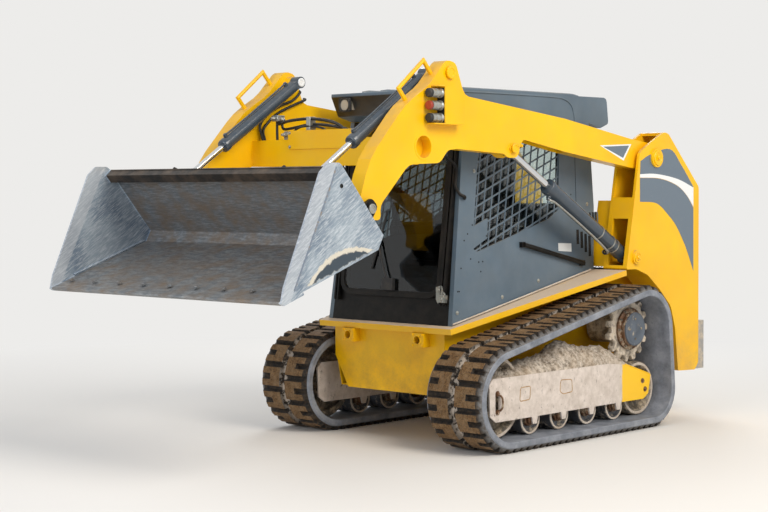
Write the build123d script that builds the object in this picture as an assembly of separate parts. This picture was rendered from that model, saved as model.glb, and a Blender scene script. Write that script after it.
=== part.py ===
from build123d import *
from math import acos, atan2, ceil, cos, hypot, pi, radians, sin, sqrt, tan
import os

# A compact track loader with a bucket, in millimetres.
# +X is the operator's left, -Y is forward and +Z is up, with the ground at z = 0.
# Sizes are measured from a datum near the machine's middle, and every node is
# moved by SHIFT_Y when it is written, so that the origin lies under the middle.

# Overall places
BUCKET_EDGE_Y = -2193.0        # the cutting edge, furthest forward
BUMPER_REAR_Y = 1745.0         # the rear bumper, furthest back
SHIFT_Y = -(BUCKET_EDGE_Y + BUMPER_REAR_Y) / 2
FIT = 0.3                      # gap between seated pieces
BULGE = 2.5                    # how far a corner's short lines may lie inside its arc
BELT_BULGE = 1.2               # the same for the track's turns

# Tracks
TRACK_X = 675.0                # middle of each belt
BELT_WIDTH = 410.0
BELT_THICK = 38.0
LUG_TALL = 27.0
LUG_COUNT = 54
LUG_LONG = 46.0                # along the belt, at the lug's root
LUG_GAP = 26.0                 # bare strip along the belt's middle
FRONT_IDLER = (-410.0, 300.0, 235.0)     # y, z, radius of the belt's inner face
REAR_IDLER = (955.0, 230.0, 165.0)
SPROCKET = (885.0, 600.0, 205.0)
SPROCKET_TEETH = 15
ROLLER_R = 88.0
ROLLER_Y = (-119.0, 148.0, 416.0, 683.0)
ROLLER_HALF = 80.0             # half of a roller's width
IDLER_HALF = 62.0
SHAFT_R = 18.0

# Track frames
FRAME_HALF = 115.0
FRAME_OUT_X = TRACK_X + FRAME_HALF
FRAME_IN_X = TRACK_X - FRAME_HALF
FRAME_WALL = 10.0
FRAME_LOW_Z = 171.0
FRAME_TOP_Z = 413.0

# Lower body
BODY_TO_BELT = 34.0            # clear width between the body and a belt
BODY_HALF = TRACK_X - BELT_WIDTH / 2 - BODY_TO_BELT
BODY_FRONT_Y = -490.0
BODY_REAR_Y = 1560.0
BODY_FLOOR_Z = 285.0
BODY_WALL = 10.0
AXLE_Y = (-150.0, 640.0)       # cross tubes that carry the track frames
AXLE_Z = 300.0
AXLE_HIGH = 90.0
CORNER_Z = 470.0               # where the front plate's cut corners end
TIE_X = 277.0                  # blocks with tie-down holes on the front plate
TIE_FRONT_Y = -546.0
TIE_Z = 602.0
TIE_HOLE_R = 22.0

# Deck over the tracks, sloping up to the rear
DECK_HALF_FRONT = 523.0
DECK_HALF_REAR = 724.0
DECK_FRONT_Y = -539.0
DECK_REAR_Y = 854.0
DECK_FRONT_Z = 676.0
DECK_REAR_Z = 958.0
DECK_THICK = 10.0
DECK_LIP = 34.0
DECK_SLOPE = (DECK_REAR_Z - DECK_FRONT_Z) / (DECK_REAR_Y - DECK_FRONT_Y)

# Towers
TOWER_OUT_X = 724.0
TOWER_IN_X = 548.0
TOWER_WALL = 18.0
TOWER_REAR_Y = 1647.0
ARM_PIVOT = (1166.0, 1643.0)   # y, z
LIFT_BASE = (954.0, 1034.0)
COVER_Z = 1290.0               # top of the engine cover
DOOR_HALF = 522.0
DOOR_THICK = 20.0
DOOR_LOW_Z = 640.0
DOOR_TOP_Z = 1240.0
DOOR_HINGE = (536.0, 1664.0)   # x, y

# Lift arms
ARM_OUT_X = 682.0
ARM_IN_X = 590.0
ARM_WALL = 10.0
BUCKET_HINGE = (-1375.0, 1360.0)
EAR_PIN = (-720.0, 2086.0)
LIFT_LUG = (-184.0, 1685.0)
TUBE_AT = (-930.0, 1683.0)     # round tube through the arm at the crossmember
TUBE_R = 69.0
CROSS_Y = (-1010.0, -870.0)    # crossmember between the arms
CROSS_Z = (1590.0, 1741.0)
CROSS_PLATE_X = (-275.0, 259.0)          # blank plate on the crossmember's front
COUPLER_X = 712.0
COUPLER_FACE_Y = -825.0        # front of the housing that the couplers point out of
COUPLER_Z = (1838.0, 1904.0, 1970.0)
COUPLER_R = 20.0
COUPLER_LONG = 100.0

# Cylinders
LIFT_X = 636.0
LIFT_BARREL_R = 45.0
LIFT_ROD_R = 22.0
LIFT_BARREL_LONG = 884.0       # base pin to gland
TILT_X = 508.0
TILT_BARREL_R = 35.0
TILT_ROD_R = 17.0
TILT_BARREL_LONG = 700.0
TILT_PIN = (-1580.0, 1519.0)   # rod pin on the hitch
EYE_WIDE = 60.0
PIN_R = 22.0

# Bucket and hitch
BUCKET_HALF = 927.0
BUCKET_WALL = 8.0
BACK_LOW = (-1498.0, 1231.0)
BACK_TOP = (-1784.0, 1574.0)
RAIL_U = 392.0                 # foot of the rail along the bucket's top
LIP_LONG = 150.0               # cutting edge, along the floor
LIP_THICK = 16.0
HITCH_HALF = 571.0
HITCH_HIGH = 400.0
EAR_THICK = 16.0

# Cab
CAB_HALF = 490.0               # at the foot of its sides
CAB_WALL = 30.0
CAB_LEAN = 2.0                 # degrees, each side leans in
CAB_FOOT_Z = 690.0
CAB_FRONT_Y = -488.0
CAB_FRONT_SLOPE = 0.1313       # the front leans back, y per z
ROOF_HALF = 439.0
ROOF_TOP_Z = 2021.0
ROOF_LOW_Z = 1861.0
LAMP_X = 322.0
LAMP_HALF = 40.0
LAMP_TOP_Z = ROOF_TOP_Z - 36
LAMP_LOW_Z = LAMP_TOP_Z - 60
HEAD_Z = ROOF_LOW_Z - 61       # top of the door's opening
REAR_PANE = (330.0, 1350.0, ROOF_LOW_Z - 81)     # half width, foot, head
GLASS = 6.0


def add(*shapes):
    """Fuse shapes into one."""
    whole = shapes[0]
    for piece in shapes[1:]:
        whole = whole + piece
    return whole


def block(x0, x1, y0, y1, z0, z1):
    """A box between two corners."""
    middle = ((x0 + x1) / 2, (y0 + y1) / 2, (z0 + z1) / 2)
    return Pos(*middle) * Box(abs(x1 - x0), abs(y1 - y0), abs(z1 - z0))


def rounded(rows):
    """A face from rows of (across, up, corner radius), each corner drawn in short lines."""
    points = []
    count = len(rows)
    for i, (a, b, r) in enumerate(rows):
        if r == 0:
            points.append((a, b))
            continue
        before, after = rows[i - 1], rows[(i + 1) % count]
        u = (before[0] - a, before[1] - b)
        v = (after[0] - a, after[1] - b)
        u = (u[0] / hypot(*u), u[1] / hypot(*u))
        v = (v[0] / hypot(*v), v[1] / hypot(*v))
        side = -1 if u[0] * v[1] - u[1] * v[0] > 0 else 1
        half = atan2(abs(u[0] * v[1] - u[1] * v[0]), u[0] * v[0] + u[1] * v[1]) / 2
        w = (u[0] + v[0], u[1] + v[1])
        middle = (a + w[0] / hypot(*w) * r / sin(half), b + w[1] / hypot(*w) * r / sin(half))
        sweep = pi - 2 * half
        steps = ceil(sweep / (2 * acos(1 - BULGE / r)))
        first = atan2(b + u[1] * r / tan(half) - middle[1], a + u[0] * r / tan(half) - middle[0])
        for k in range(steps + 1):
            angle = first + side * sweep * k / steps
            points.append((middle[0] + r * cos(angle), middle[1] + r * sin(angle)))
    return make_face(Polyline(*points, close=True))


def inset(rows, wall, soft=0):
    """The same outline drawn in by a wall; soft keeps that share of each corner."""
    count = len(rows)
    turning = sum(rows[i - 1][0] * rows[i][1] - rows[i][0] * rows[i - 1][1] for i in range(count))
    side = 1 if turning > 0 else -1
    lines = []
    for i in range(count):
        (a, b, _), (c, d, _) = rows[i - 1], rows[i]
        long = hypot(c - a, d - b)
        normal = (-(d - b) / long * side, (c - a) / long * side)
        lines.append((normal, normal[0] * a + normal[1] * b + wall))
    moved = []
    for i in range(count):
        (n0, d0), (n1, d1) = lines[i], lines[(i + 1) % count]
        cross = n0[0] * n1[1] - n0[1] * n1[0]
        moved.append(((d0 * n1[1] - d1 * n0[1]) / cross, (n0[0] * d1 - n1[0] * d0) / cross,
                      max(0, rows[i][2] - wall) * soft))
    return moved


def slab(rows, x0, x1):
    """A plate across X from rows of (y, z, corner radius)."""
    return extrude(Plane.YZ.offset(min(x0, x1)) * rounded(rows), abs(x1 - x0))


def pin(y, z, r, x0, x1):
    """A round bar along X."""
    return Pos((x0 + x1) / 2, y, z) * Rot(0, 90, 0) * Cylinder(r, abs(x1 - x0))


def prism(y, z, r, x0, x1):
    """A bar along X with flat sides, for what lies hidden."""
    sides = 2 * ceil(pi / (4 * acos(1 - BULGE / r))) + 2
    return extrude(Plane.YZ.offset(min(x0, x1)) * Pos(y, z) * RegularPolygon(r, sides), abs(x1 - x0))


def wheel(y, z, r, sides, x0, x1):
    """A many-sided wheel across X."""
    return extrude(Plane.YZ.offset(min(x0, x1)) * Pos(y, z) * RegularPolygon(r, sides), abs(x1 - x0))


def bar(start, end, r):
    """A round bar between two points."""
    a, b = Vector(*start), Vector(*end)
    return extrude(Plane(origin=a, z_dir=(b - a).normalized()) * Circle(r), (b - a).length)


def mirrored(shape):
    """The same piece on the operator's right."""
    return mirror(shape, about=Plane.YZ)


def both(shape):
    """The piece on each side of the machine."""
    return add(shape, mirrored(shape))


def direction(start, end):
    """Unit vector in the Y-Z plane, and the distance."""
    long = hypot(end[0] - start[0], end[1] - start[1])
    return (end[0] - start[0]) / long, (end[1] - start[1]) / long, long


def deck_z(y):
    """Height of the deck's top."""
    return DECK_FRONT_Z + (y - DECK_FRONT_Y) * DECK_SLOPE


def belt_path(grow):
    """Stretches of the track's loop, each an arc or a line, with its length."""
    wheels = [FRONT_IDLER, REAR_IDLER, SPROCKET]
    rows = []
    for i, (y, z, r) in enumerate(wheels):
        ny, nz, nr = wheels[(i + 1) % 3]
        d = hypot(ny - y, nz - z)
        dy, dz = (ny - y) / d, (nz - z) / d
        along = (r - nr) / d
        across = sqrt(1 - along * along)
        rows.append((y, z, r + grow, (dy * along + dz * across, dz * along - dy * across)))
    stretches = []
    for i, (y, z, r, normal) in enumerate(rows):
        ny, nz, nr, _ = rows[(i + 1) % 3]
        before = rows[i - 1][3]
        start = atan2(before[1], before[0])
        sweep = (atan2(normal[1], normal[0]) - start) % (2 * pi)
        stretches.append(("arc", (y, z), r, start, sweep, r * sweep))
        a = (y + normal[0] * r, z + normal[1] * r)
        b = (ny + normal[0] * nr, nz + normal[1] * nr)
        stretches.append(("line", a, b, normal, 0, hypot(b[0] - a[0], b[1] - a[1])))
    return stretches


def belt_face(grow):
    """The filled loop at a distance outside the belt's inner face, its turns in short lines."""
    points = []
    for kind, middle, r, start, sweep, _ in belt_path(grow):
        if kind == "arc":
            steps = ceil(sweep / (2 * acos(1 - BELT_BULGE / r)))
            half = sweep / steps / 2
            for k in range(steps):
                angle = start + (2 * k + 1) * half
                points.append((middle[0] + r / cos(half) * cos(angle), middle[1] + r / cos(half) * sin(angle)))
    return make_face(Polyline(*points, close=True))


def belt_point(path, distance, height):
    """A point at a distance along the loop and a height above it."""
    for kind, first, second, third, sweep, long in path:
        if distance > long:
            distance -= long
            continue
        share = distance / long
        if kind == "arc":
            angle = third + sweep * share
            return first[0] + (second + height) * cos(angle), first[1] + (second + height) * sin(angle)
        return (first[0] + (second[0] - first[0]) * share + third[0] * height,
                first[1] + (second[1] - first[1]) * share + third[1] * height)
    return belt_point(path, 0, height)


def lugged_face(phase):
    """The loop's outline with its lugs, shifted along by a share of the pitch."""
    path = belt_path(BELT_THICK)
    total = sum(row[-1] for row in path)
    pitch = total / LUG_COUNT
    points = []
    for k in range(LUG_COUNT):
        middle = (k + phase) * pitch
        # share of the lug's length, height above the belt
        for share, height in ((-0.5, 0), (-0.36, LUG_TALL), (0.36, LUG_TALL), (0.5, 0)):
            points.append(belt_point(path, (middle + share * LUG_LONG) % total, height))
    return make_face(Polyline(*points, close=True))


def track():
    """One rubber track: two staggered columns of lugs on a plain loop."""
    inner = TRACK_X - BELT_WIDTH / 2
    outer = TRACK_X + BELT_WIDTH / 2
    column = (BELT_WIDTH - LUG_GAP) / 2
    # outline, start along X, width
    rows = [
        (lugged_face(0.25), inner, column),
        (belt_face(BELT_THICK), inner + column, LUG_GAP),
        (lugged_face(0.75), outer - column, column),
    ]
    filled = add(*[extrude(Plane.YZ.offset(x) * face, wide) for face, x, wide in rows])
    return filled - extrude(Plane.YZ.offset(inner - 5) * belt_face(0), BELT_WIDTH + 10)


def idlers():
    """Front and rear idler of one track, each with its hub and shaft."""
    made = []
    low, high = FRAME_IN_X + FRAME_WALL + FIT, FRAME_OUT_X - FRAME_WALL - FIT
    for y, z, r in (FRONT_IDLER, REAR_IDLER):
        face = TRACK_X + IDLER_HALF
        rim = wheel(y, z, r - FIT, 24, TRACK_X - IDLER_HALF, face)
        dish = wheel(y, z, r - 34, 16, face - 40, face + 5)
        made.append((rim - dish) + prism(y, z, 56, low, high))
    return add(*made)


def rollers():
    """The four track rollers of one side, on their shafts."""
    low, high = FRAME_IN_X + FRAME_WALL + FIT, FRAME_OUT_X - FRAME_WALL - FIT
    made = []
    z = FRONT_IDLER[1] - FRONT_IDLER[2] + ROLLER_R + FIT
    for y in ROLLER_Y:
        rim = wheel(y, z, ROLLER_R, 16, TRACK_X - ROLLER_HALF, TRACK_X + ROLLER_HALF)
        made.append(rim + prism(y, z, SHAFT_R, low, high))
    return add(*made)


def drive():
    """The drive motor with its sprocket, stepped hub and cap."""
    y, z, r = SPROCKET
    root, tip = r - 36, r - FIT
    points = []
    for k in range(SPROCKET_TEETH):
        # share of a tooth's pitch, radius
        for share, radius in ((-0.32, root), (-0.12, tip), (0.12, tip), (0.32, root)):
            angle = 2 * pi * (k + share) / SPROCKET_TEETH
            points.append((y + radius * cos(angle), z + radius * sin(angle)))
    plate = extrude(Plane.YZ.offset(TRACK_X + 8) * make_face(Polyline(*points, close=True)), 34)
    motor = prism(y, z, 92, BODY_HALF + FIT, TRACK_X + 8)
    drum = wheel(y, z, 123, 24, TRACK_X + 42, TRACK_X + 60)
    cap = wheel(y, z, 105, 24, TRACK_X + 60, TRACK_X + 98)
    return add(plate, motor, drum, cap)


def track_frame():
    """The track frame: a box open below, with tabs that hold the roller shafts."""
    # y, z, corner radius
    rows = [(-520, 383, 0), (-512, 205, 0), (-464, FRAME_LOW_Z, 0), (941, FRAME_LOW_Z, 0), (992, 200, 0),
            (1018, 312, 0), (744, 396, 0), (581, FRAME_TOP_Z, 0), (-490, FRAME_TOP_Z, 0)]
    low, high = FRAME_IN_X + FRAME_WALL, FRAME_OUT_X - FRAME_WALL
    frame = slab(rows, FRAME_IN_X, FRAME_OUT_X)
    frame = frame - block(low, high, -600, 1100, 100, FRAME_TOP_Z - 60)
    for y, z, r in (FRONT_IDLER, REAR_IDLER):
        frame = frame - prism(y, z, r + 20, low, high)
    slot = [(-468, 222, 0), (-459, 210, 0), (-441, 210, 0), (-432, 222, 0),
            (-432, 333, 0), (-441, 345, 0), (-459, 345, 0), (-468, 333, 0)]
    frame = frame - slab(slot, high - 5, FRAME_OUT_X + 5)
    shaft_z = FRONT_IDLER[1] - FRONT_IDLER[2] + ROLLER_R + FIT
    for y in ROLLER_Y:
        tab = [(y - 30, FRAME_LOW_Z + 10, 0), (y - 16, shaft_z - 24, 0), (y + 16, shaft_z - 24, 0),
               (y + 30, FRAME_LOW_Z + 10, 0)]
        frame = frame + slab(tab, FRAME_IN_X, low) + slab(tab, high, FRAME_OUT_X)
    return frame


def under_deck(y):
    """Height of the body's top edge, just below the deck's plate."""
    return deck_z(y) - DECK_THICK * 1.03 - FIT


def side_wall():
    """A side wall of the lower body."""
    y0 = BODY_FRONT_Y + BODY_WALL + FIT
    # y, z, corner radius
    rows = [(y0 + 40, BODY_FLOOR_Z, 0), (BODY_REAR_Y, BODY_FLOOR_Z, 0), (BODY_REAR_Y, 640, 30),
            (1290, 940, 60), (DECK_REAR_Y, under_deck(DECK_REAR_Y), 0), (y0, under_deck(y0), 0), (y0, CORNER_Z, 0)]
    return slab(rows, BODY_HALF - BODY_WALL, BODY_HALF)


def cross_tubes():
    """The stubs of the cross tubes that carry one track frame."""
    low, high = AXLE_Z - AXLE_HIGH / 2, AXLE_Z + AXLE_HIGH / 2
    return add(*[block(BODY_HALF + FIT, FRAME_IN_X - FIT, y - 60, y + 60, low, high) for y in AXLE_Y])


def chassis():
    """The lower body's floor and front plate, with the blocks of the tie-down holes."""
    top = under_deck(BODY_FRONT_Y)
    # x, z of the front plate, its lower corners cut off
    outline = [(-330, BODY_FLOOR_Z), (330, BODY_FLOOR_Z), (BODY_HALF, CORNER_Z), (BODY_HALF, top),
               (-BODY_HALF, top), (-BODY_HALF, CORNER_Z)]
    front = extrude(Plane.XZ.offset(-BODY_FRONT_Y) * make_face(Polyline(*outline, close=True)), -BODY_WALL)
    half = BODY_HALF - BODY_WALL - FIT
    floor = block(-half, half, BODY_FRONT_Y + BODY_WALL + FIT + 40, BODY_REAR_Y, BODY_FLOOR_Z,
                  BODY_FLOOR_Z + BODY_WALL)
    nose = block(-328, 328, BODY_FRONT_Y + 1, BODY_FRONT_Y + 60, BODY_FLOOR_Z, BODY_FLOOR_Z + BODY_WALL)
    made = add(front, floor, nose)
    for x in (-TIE_X, TIE_X):
        tie = block(x - 48, x + 48, TIE_FRONT_Y, BODY_FRONT_Y, TIE_Z - 40, TIE_Z + 39)
        hole = Pos(x, TIE_FRONT_Y + 30, TIE_Z) * Rot(90, 0, 0) * Cylinder(TIE_HOLE_R, 140)
        made = (made + tie) - hole
    return made


def deck():
    """The sloping deck beside and under the cab, with its lip."""
    long = hypot(DECK_REAR_Z - DECK_FRONT_Z, DECK_REAR_Y - DECK_FRONT_Y)
    tilt = atan2(DECK_REAR_Z - DECK_FRONT_Z, DECK_REAR_Y - DECK_FRONT_Y)
    plane = Plane(origin=(0, DECK_FRONT_Y, DECK_FRONT_Z), x_dir=(1, 0, 0), z_dir=(0, -sin(tilt), cos(tilt)))
    a, b, edge = DECK_HALF_FRONT, DECK_HALF_REAR, 12
    outer = make_face(Polyline((-a, 0), (a, 0), (b, long), (-b, long), close=True))
    inner = make_face(Polyline((edge - a, edge), (a - edge, edge), (b - edge, long + 5), (edge - b, long + 5),
                               close=True))
    plate = extrude(plane * outer, -DECK_THICK)
    lip = extrude(plane * (outer - inner), -DECK_LIP)
    opening = block(-360, 360, DECK_FRONT_Y + 160, DECK_REAR_Y - 100, 500, 1200)
    return (plate + lip) - opening


def tower():
    """One rear tower: a box of plates, open above its front hole for the arm."""
    # y, z, corner radius
    rows = [(856, 962, 6), (993, 1677, 60), (1250, 1805, 40), (1303, 1795, 30), (TOWER_REAR_Y, 1462, 40),
            (TOWER_REAR_Y, 330, 30), (1605, 290, 10), (1417, 298, 10), (1382, 570, 40), (1330, 716, 60),
            (1215, 820, 60), (1081, 920, 60), (960, 960, 20)]
    low, high = TOWER_IN_X + TOWER_WALL, TOWER_OUT_X - TOWER_WALL
    whole = slab(rows, TOWER_IN_X, TOWER_OUT_X) - slab(inset(rows, TOWER_WALL), low, high)
    mouth = [(700, 1400, 0), (1245, 1400, 0), (1245, 1900, 0), (700, 1900, 0)]
    hole = [(830, 985, 0), (960, 985, 0), (960, 1270, 0), (830, 1270, 0)]
    whole = whole - slab(mouth, low, high) - slab(hole, LIFT_X - 56, LIFT_X + 58)
    for (y, z), r in ((ARM_PIVOT, 58), (LIFT_BASE, 44)):
        whole = whole + pin(y, z, r, TOWER_OUT_X, TOWER_OUT_X + 14)
    arm_half = (ARM_OUT_X - ARM_IN_X) / 2 + 16
    # place, radius, half width of what the pin holds
    for (y, z), r, half in ((ARM_PIVOT, 60, arm_half), (LIFT_BASE, 40, EYE_WIDE / 2)):
        whole = whole + prism(y, z, r, low - 1, LIFT_X - half - FIT) + prism(y, z, r, LIFT_X + half + FIT, high + 1)
    return whole


def rear_frame():
    """Plates that join the towers to the body, with the rear door's jambs."""
    side = TOWER_IN_X - FIT
    web_y, foot_z, plate = BODY_REAR_Y - 120, BODY_FLOOR_Z + 15, 12
    web = block(BODY_HALF + FIT, side, web_y, web_y + plate, foot_z, foot_z + 600)
    shelf = block(BODY_HALF + FIT, side, web_y, BODY_REAR_Y, foot_z, foot_z + plate)
    # y, z, corner radius of the plate beside the cab's rear corner
    low, high = (DECK_REAR_Y + 18, DECK_REAR_Z + 17), (DECK_REAR_Y + 100, COVER_Z + 90)
    wing = slab([low + (0,), (low[0] + plate, low[1], 0), (high[0] + plate, high[1], 0), high + (0,)],
                BODY_HALF + 4, side)
    jamb = block(DOOR_HALF - 40, side, 1606, TOWER_REAR_Y - 8, 330, COVER_Z - 35 - FIT)
    x0, y1 = DOOR_HINGE[0] - 8, DOOR_HINGE[1] + 12
    lug_low = block(x0, side, TOWER_REAR_Y - 8, y1, DOOR_LOW_Z - 25, DOOR_LOW_Z - 5 - FIT)
    lug_high = block(x0, side, TOWER_REAR_Y - 8, y1, DOOR_TOP_Z + 5 + FIT, COVER_Z - 35 - FIT)
    sill = block(-side, side, BODY_REAR_Y + FIT, TOWER_REAR_Y - 8, BODY_FLOOR_Z, 330)
    return add(both(web + shelf), both(wing), sill + both(jamb), lug_low, lug_high)


def engine_cover():
    """The cover over the engine, between the towers."""
    half = TOWER_IN_X - FIT
    return block(-half, half, 1080, TOWER_REAR_Y - 10, COVER_Z - 35, COVER_Z)


def engine():
    """The engine as one plain block."""
    return block(-270, 270, 800, 1450, BODY_FLOOR_Z + BODY_WALL + FIT, 850)


def bumper():
    """The rear bumper bar."""
    return block(-700, 700, TOWER_REAR_Y + FIT, BUMPER_REAR_Y, 290, 600)


def rear_door():
    """The door over the engine's rear, with its louvres and hinge pin."""
    y0 = TOWER_REAR_Y - 7
    door = block(-DOOR_HALF, DOOR_HALF, y0, y0 + DOOR_THICK, DOOR_LOW_Z, DOOR_TOP_Z)
    louvres = 9
    pitch = 50
    for k in range(louvres):
        z = DOOR_LOW_Z + 80 + k * pitch
        door = door - block(-380, 380, y0 - 5, y0 + DOOR_THICK + 5, z, z + 22)
    leaf = block(DOOR_HALF - 10, DOOR_HINGE[0], DOOR_HINGE[1] - 6, DOOR_HINGE[1], DOOR_LOW_Z, DOOR_TOP_Z)
    knuckle = Pos(*DOOR_HINGE, (DOOR_LOW_Z + DOOR_TOP_Z) / 2) * Cylinder(8, DOOR_TOP_Z - DOOR_LOW_Z + 10)
    return add(door, leaf, knuckle)


def arm_rows():
    """The outline of a lift arm: y, z, corner radius."""
    return [(-745, 2156, 52), (-668, 2140, 40), (-598, 1966, 60), (298, 1864, 400), (964, 1757, 200),
            (1262, 1722, 72), (1262, 1560, 72), (964, 1581, 200), (298, 1671, 300), (-96, 1738, 30),
            (-140, 1632, 40), (-226, 1632, 40), (-260, 1654, 30), (-665, 1676, 60), (-735, 1668, 50),
            (-800, 1598, 60), (-1045, 1590, 100), (-1264, 1376, 60), (-1262, 1300, 20), (-1448, 1300, 60),
            (-1404, 1440, 300), (-1340, 1620, 400), (-1072, 1903, 500), (-890, 2008, 200)]


def arm():
    """One lift arm: a closed box, open below at the lift cylinder's lug."""
    rows = arm_rows()
    low, high = ARM_IN_X + ARM_WALL, ARM_OUT_X - ARM_WALL
    whole = slab(rows, ARM_IN_X, ARM_OUT_X) - slab(inset(rows, ARM_WALL), low, high)
    whole = whole - block(low, high, -250, 330, 1600, 1760)
    box = TUBE_R + 14
    y, z = TUBE_AT
    whole = whole + block(ARM_IN_X, ARM_OUT_X, y - box, y + box, z - box, z + box)
    whole = whole - wheel(y, z, TUBE_R, 16, ARM_IN_X + 30, ARM_OUT_X + 5)
    # place, radius, start and end along X
    rows = [(ARM_PIVOT, 58, ARM_IN_X - 16, ARM_IN_X), (ARM_PIVOT, 58, ARM_OUT_X, ARM_OUT_X + 16),
            (EAR_PIN, 38, TILT_X + EYE_WIDE / 2 + FIT, ARM_IN_X), (EAR_PIN, PIN_R, ARM_OUT_X, ARM_OUT_X + 8),
            (LIFT_LUG, 32, ARM_OUT_X, ARM_OUT_X + 8),
            (LIFT_LUG, PIN_R, low - 1, LIFT_X - EYE_WIDE / 2 - FIT),
            (LIFT_LUG, PIN_R, LIFT_X + EYE_WIDE / 2 + FIT, high + 1)]
    for at, r, x0, x1 in rows:
        whole = whole + prism(*at, r, x0, x1)
    return whole


def arm_handle():
    """The bent tube to hold on the front of an arm."""
    # y, z along the tube, both ends inside the arm's front face
    path = [(-812, 2068), (-880, 2146), (-1075, 1990), (-1016, 1922)]
    line = Polyline(*[(LIFT_X, y, z) for y, z in path])
    start = Plane(origin=line @ 0, z_dir=line % 0)
    return sweep(start * RegularPolygon(12, 8), path=line, transition=Transition.RIGHT)


def lift_arms():
    """Both arms, the crossmember between them and the couplers' housing on the left one."""
    left = arm() + arm_handle()
    front, low, high = COUPLER_FACE_Y, COUPLER_Z[0] - 34, COUPLER_Z[-1] + 36
    housing = slab([(front, low, 0), (front + 160, low, 0), (front + 160, high - 70, 0), (front + 70, high, 0),
                    (front, high, 0)], ARM_OUT_X - 1, COUPLER_X + 32)
    cross = block(-ARM_IN_X, ARM_IN_X, *CROSS_Y, *CROSS_Z)
    inside = block(-ARM_IN_X + 20, ARM_IN_X - 20, CROSS_Y[0] + 10, CROSS_Y[1] - 10, CROSS_Z[0] - 5, CROSS_Z[1] - 10)
    name_plate = block(*CROSS_PLATE_X, CROSS_Y[0] - 8, CROSS_Y[0] + 1, CROSS_Z[1] - 55, CROSS_Z[1] + 50)
    return add(left, mirrored(left), cross - inside, name_plate, housing)


def cylinder_pair(x, base, tip, barrel_r, rod_r, long, bore_from, rod_from, eye_r, eye):
    """The barrels and rods of one pair of cylinders, built closed on their pins.

    eye makes the barrel's eye, round or with flats.
    """
    uy, uz, reach = direction(base, tip)

    def at(distance, side=0):
        return base[0] + uy * distance - uz * side, base[1] + uz * distance + uy * side

    def tube(start, end, r):
        return bar((x, *at(start)), (x, *at(end)), r)

    neck_end = eye_r + 14
    neck = [at(0, -eye_r * 0.7) + (0,), at(neck_end, -eye_r * 0.7) + (0,),
            at(neck_end, eye_r * 0.7) + (0,), at(0, eye_r * 0.7) + (0,)]
    barrel = eye(*base, eye_r, x - EYE_WIDE / 2, x + EYE_WIDE / 2)
    barrel = barrel + slab(neck, x - EYE_WIDE / 2, x + EYE_WIDE / 2)
    start, flats = Vector(x, *at(bore_from)), 12
    along = Plane(origin=start, z_dir=(Vector(x, *at(long)) - start).normalized())
    bore = extrude(along * RegularPolygon((rod_r + FIT) / cos(pi / flats), flats), long - bore_from + 5)
    barrel = barrel + tube(neck_end - 1, long, barrel_r) - bore
    rod = tube(rod_from, reach, rod_r) + prism(*tip, eye_r, x - EYE_WIDE / 2, x + EYE_WIDE / 2)
    return both(barrel), both(rod)


def back_point(u, n):
    """A point u up the bucket's back and n behind it."""
    uy, uz, _ = direction(BACK_LOW, BACK_TOP)
    return BACK_LOW[0] + uy * u + uz * n, BACK_LOW[1] + uz * u - uy * n


def tilted(u0, u1, n0, n1, x0, x1):
    """A box lined up with the bucket's back."""
    corners = [back_point(u, n) + (0,) for u, n in ((u0, n0), (u1, n0), (u1, n1), (u0, n1))]
    return slab(corners, x0, x1)


def hitch():
    """The attaching frame: a plate with ears for the hinge and rod pins."""
    uy, uz, _ = direction(BACK_LOW, BACK_TOP)
    plate = tilted(-20, HITCH_HIGH, FIT, 22, -HITCH_HALF, HITCH_HALF)
    plate = plate - tilted(60, HITCH_HIGH - 40, -5, 30, -420, 420)
    gap = EYE_WIDE / 2 + FIT
    slot = tilted(190, 345, -5, 30, TILT_X - gap, TILT_X + gap)
    plate = plate - slot - mirrored(slot)
    rail = tilted(0, 60, FIT, 60, HITCH_HALF - 5, 720)
    ear = [back_point(-20, 5) + (0,), back_point(330, 5) + (0,),
           (TILT_PIN[0] + uy * 40, TILT_PIN[1] + uz * 40, 20),
           (TILT_PIN[0] + uz * 38, TILT_PIN[1] - uy * 38, 20),
           (BUCKET_HINGE[0] + 56, BUCKET_HINGE[1] + 12, 24),
           (BUCKET_HINGE[0] + 8, BUCKET_HINGE[1] - 58, 24)]
    low_ear = [back_point(-20, 5) + (0,), back_point(70, 5) + (0,), (BUCKET_HINGE[0] + 4, BUCKET_HINGE[1] + 58, 24),
               (BUCKET_HINGE[0] + 56, BUCKET_HINGE[1] + 12, 24), (BUCKET_HINGE[0] + 8, BUCKET_HINGE[1] - 58, 24)]
    inner, outer = TILT_X - gap - EAR_THICK, TILT_X + gap
    side = slab(ear, inner, inner + EAR_THICK) + slab(ear, outer, ARM_IN_X - 22)
    side = side + slab(low_ear, ARM_OUT_X + 22, 720) + rail
    side = side + prism(*BUCKET_HINGE, 40, ARM_IN_X - 23, ARM_IN_X - FIT)
    side = side + prism(*BUCKET_HINGE, 40, ARM_OUT_X + FIT, ARM_OUT_X + 23) + pin(*BUCKET_HINGE, 30, 719, 730)
    return plate + both(side)


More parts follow.
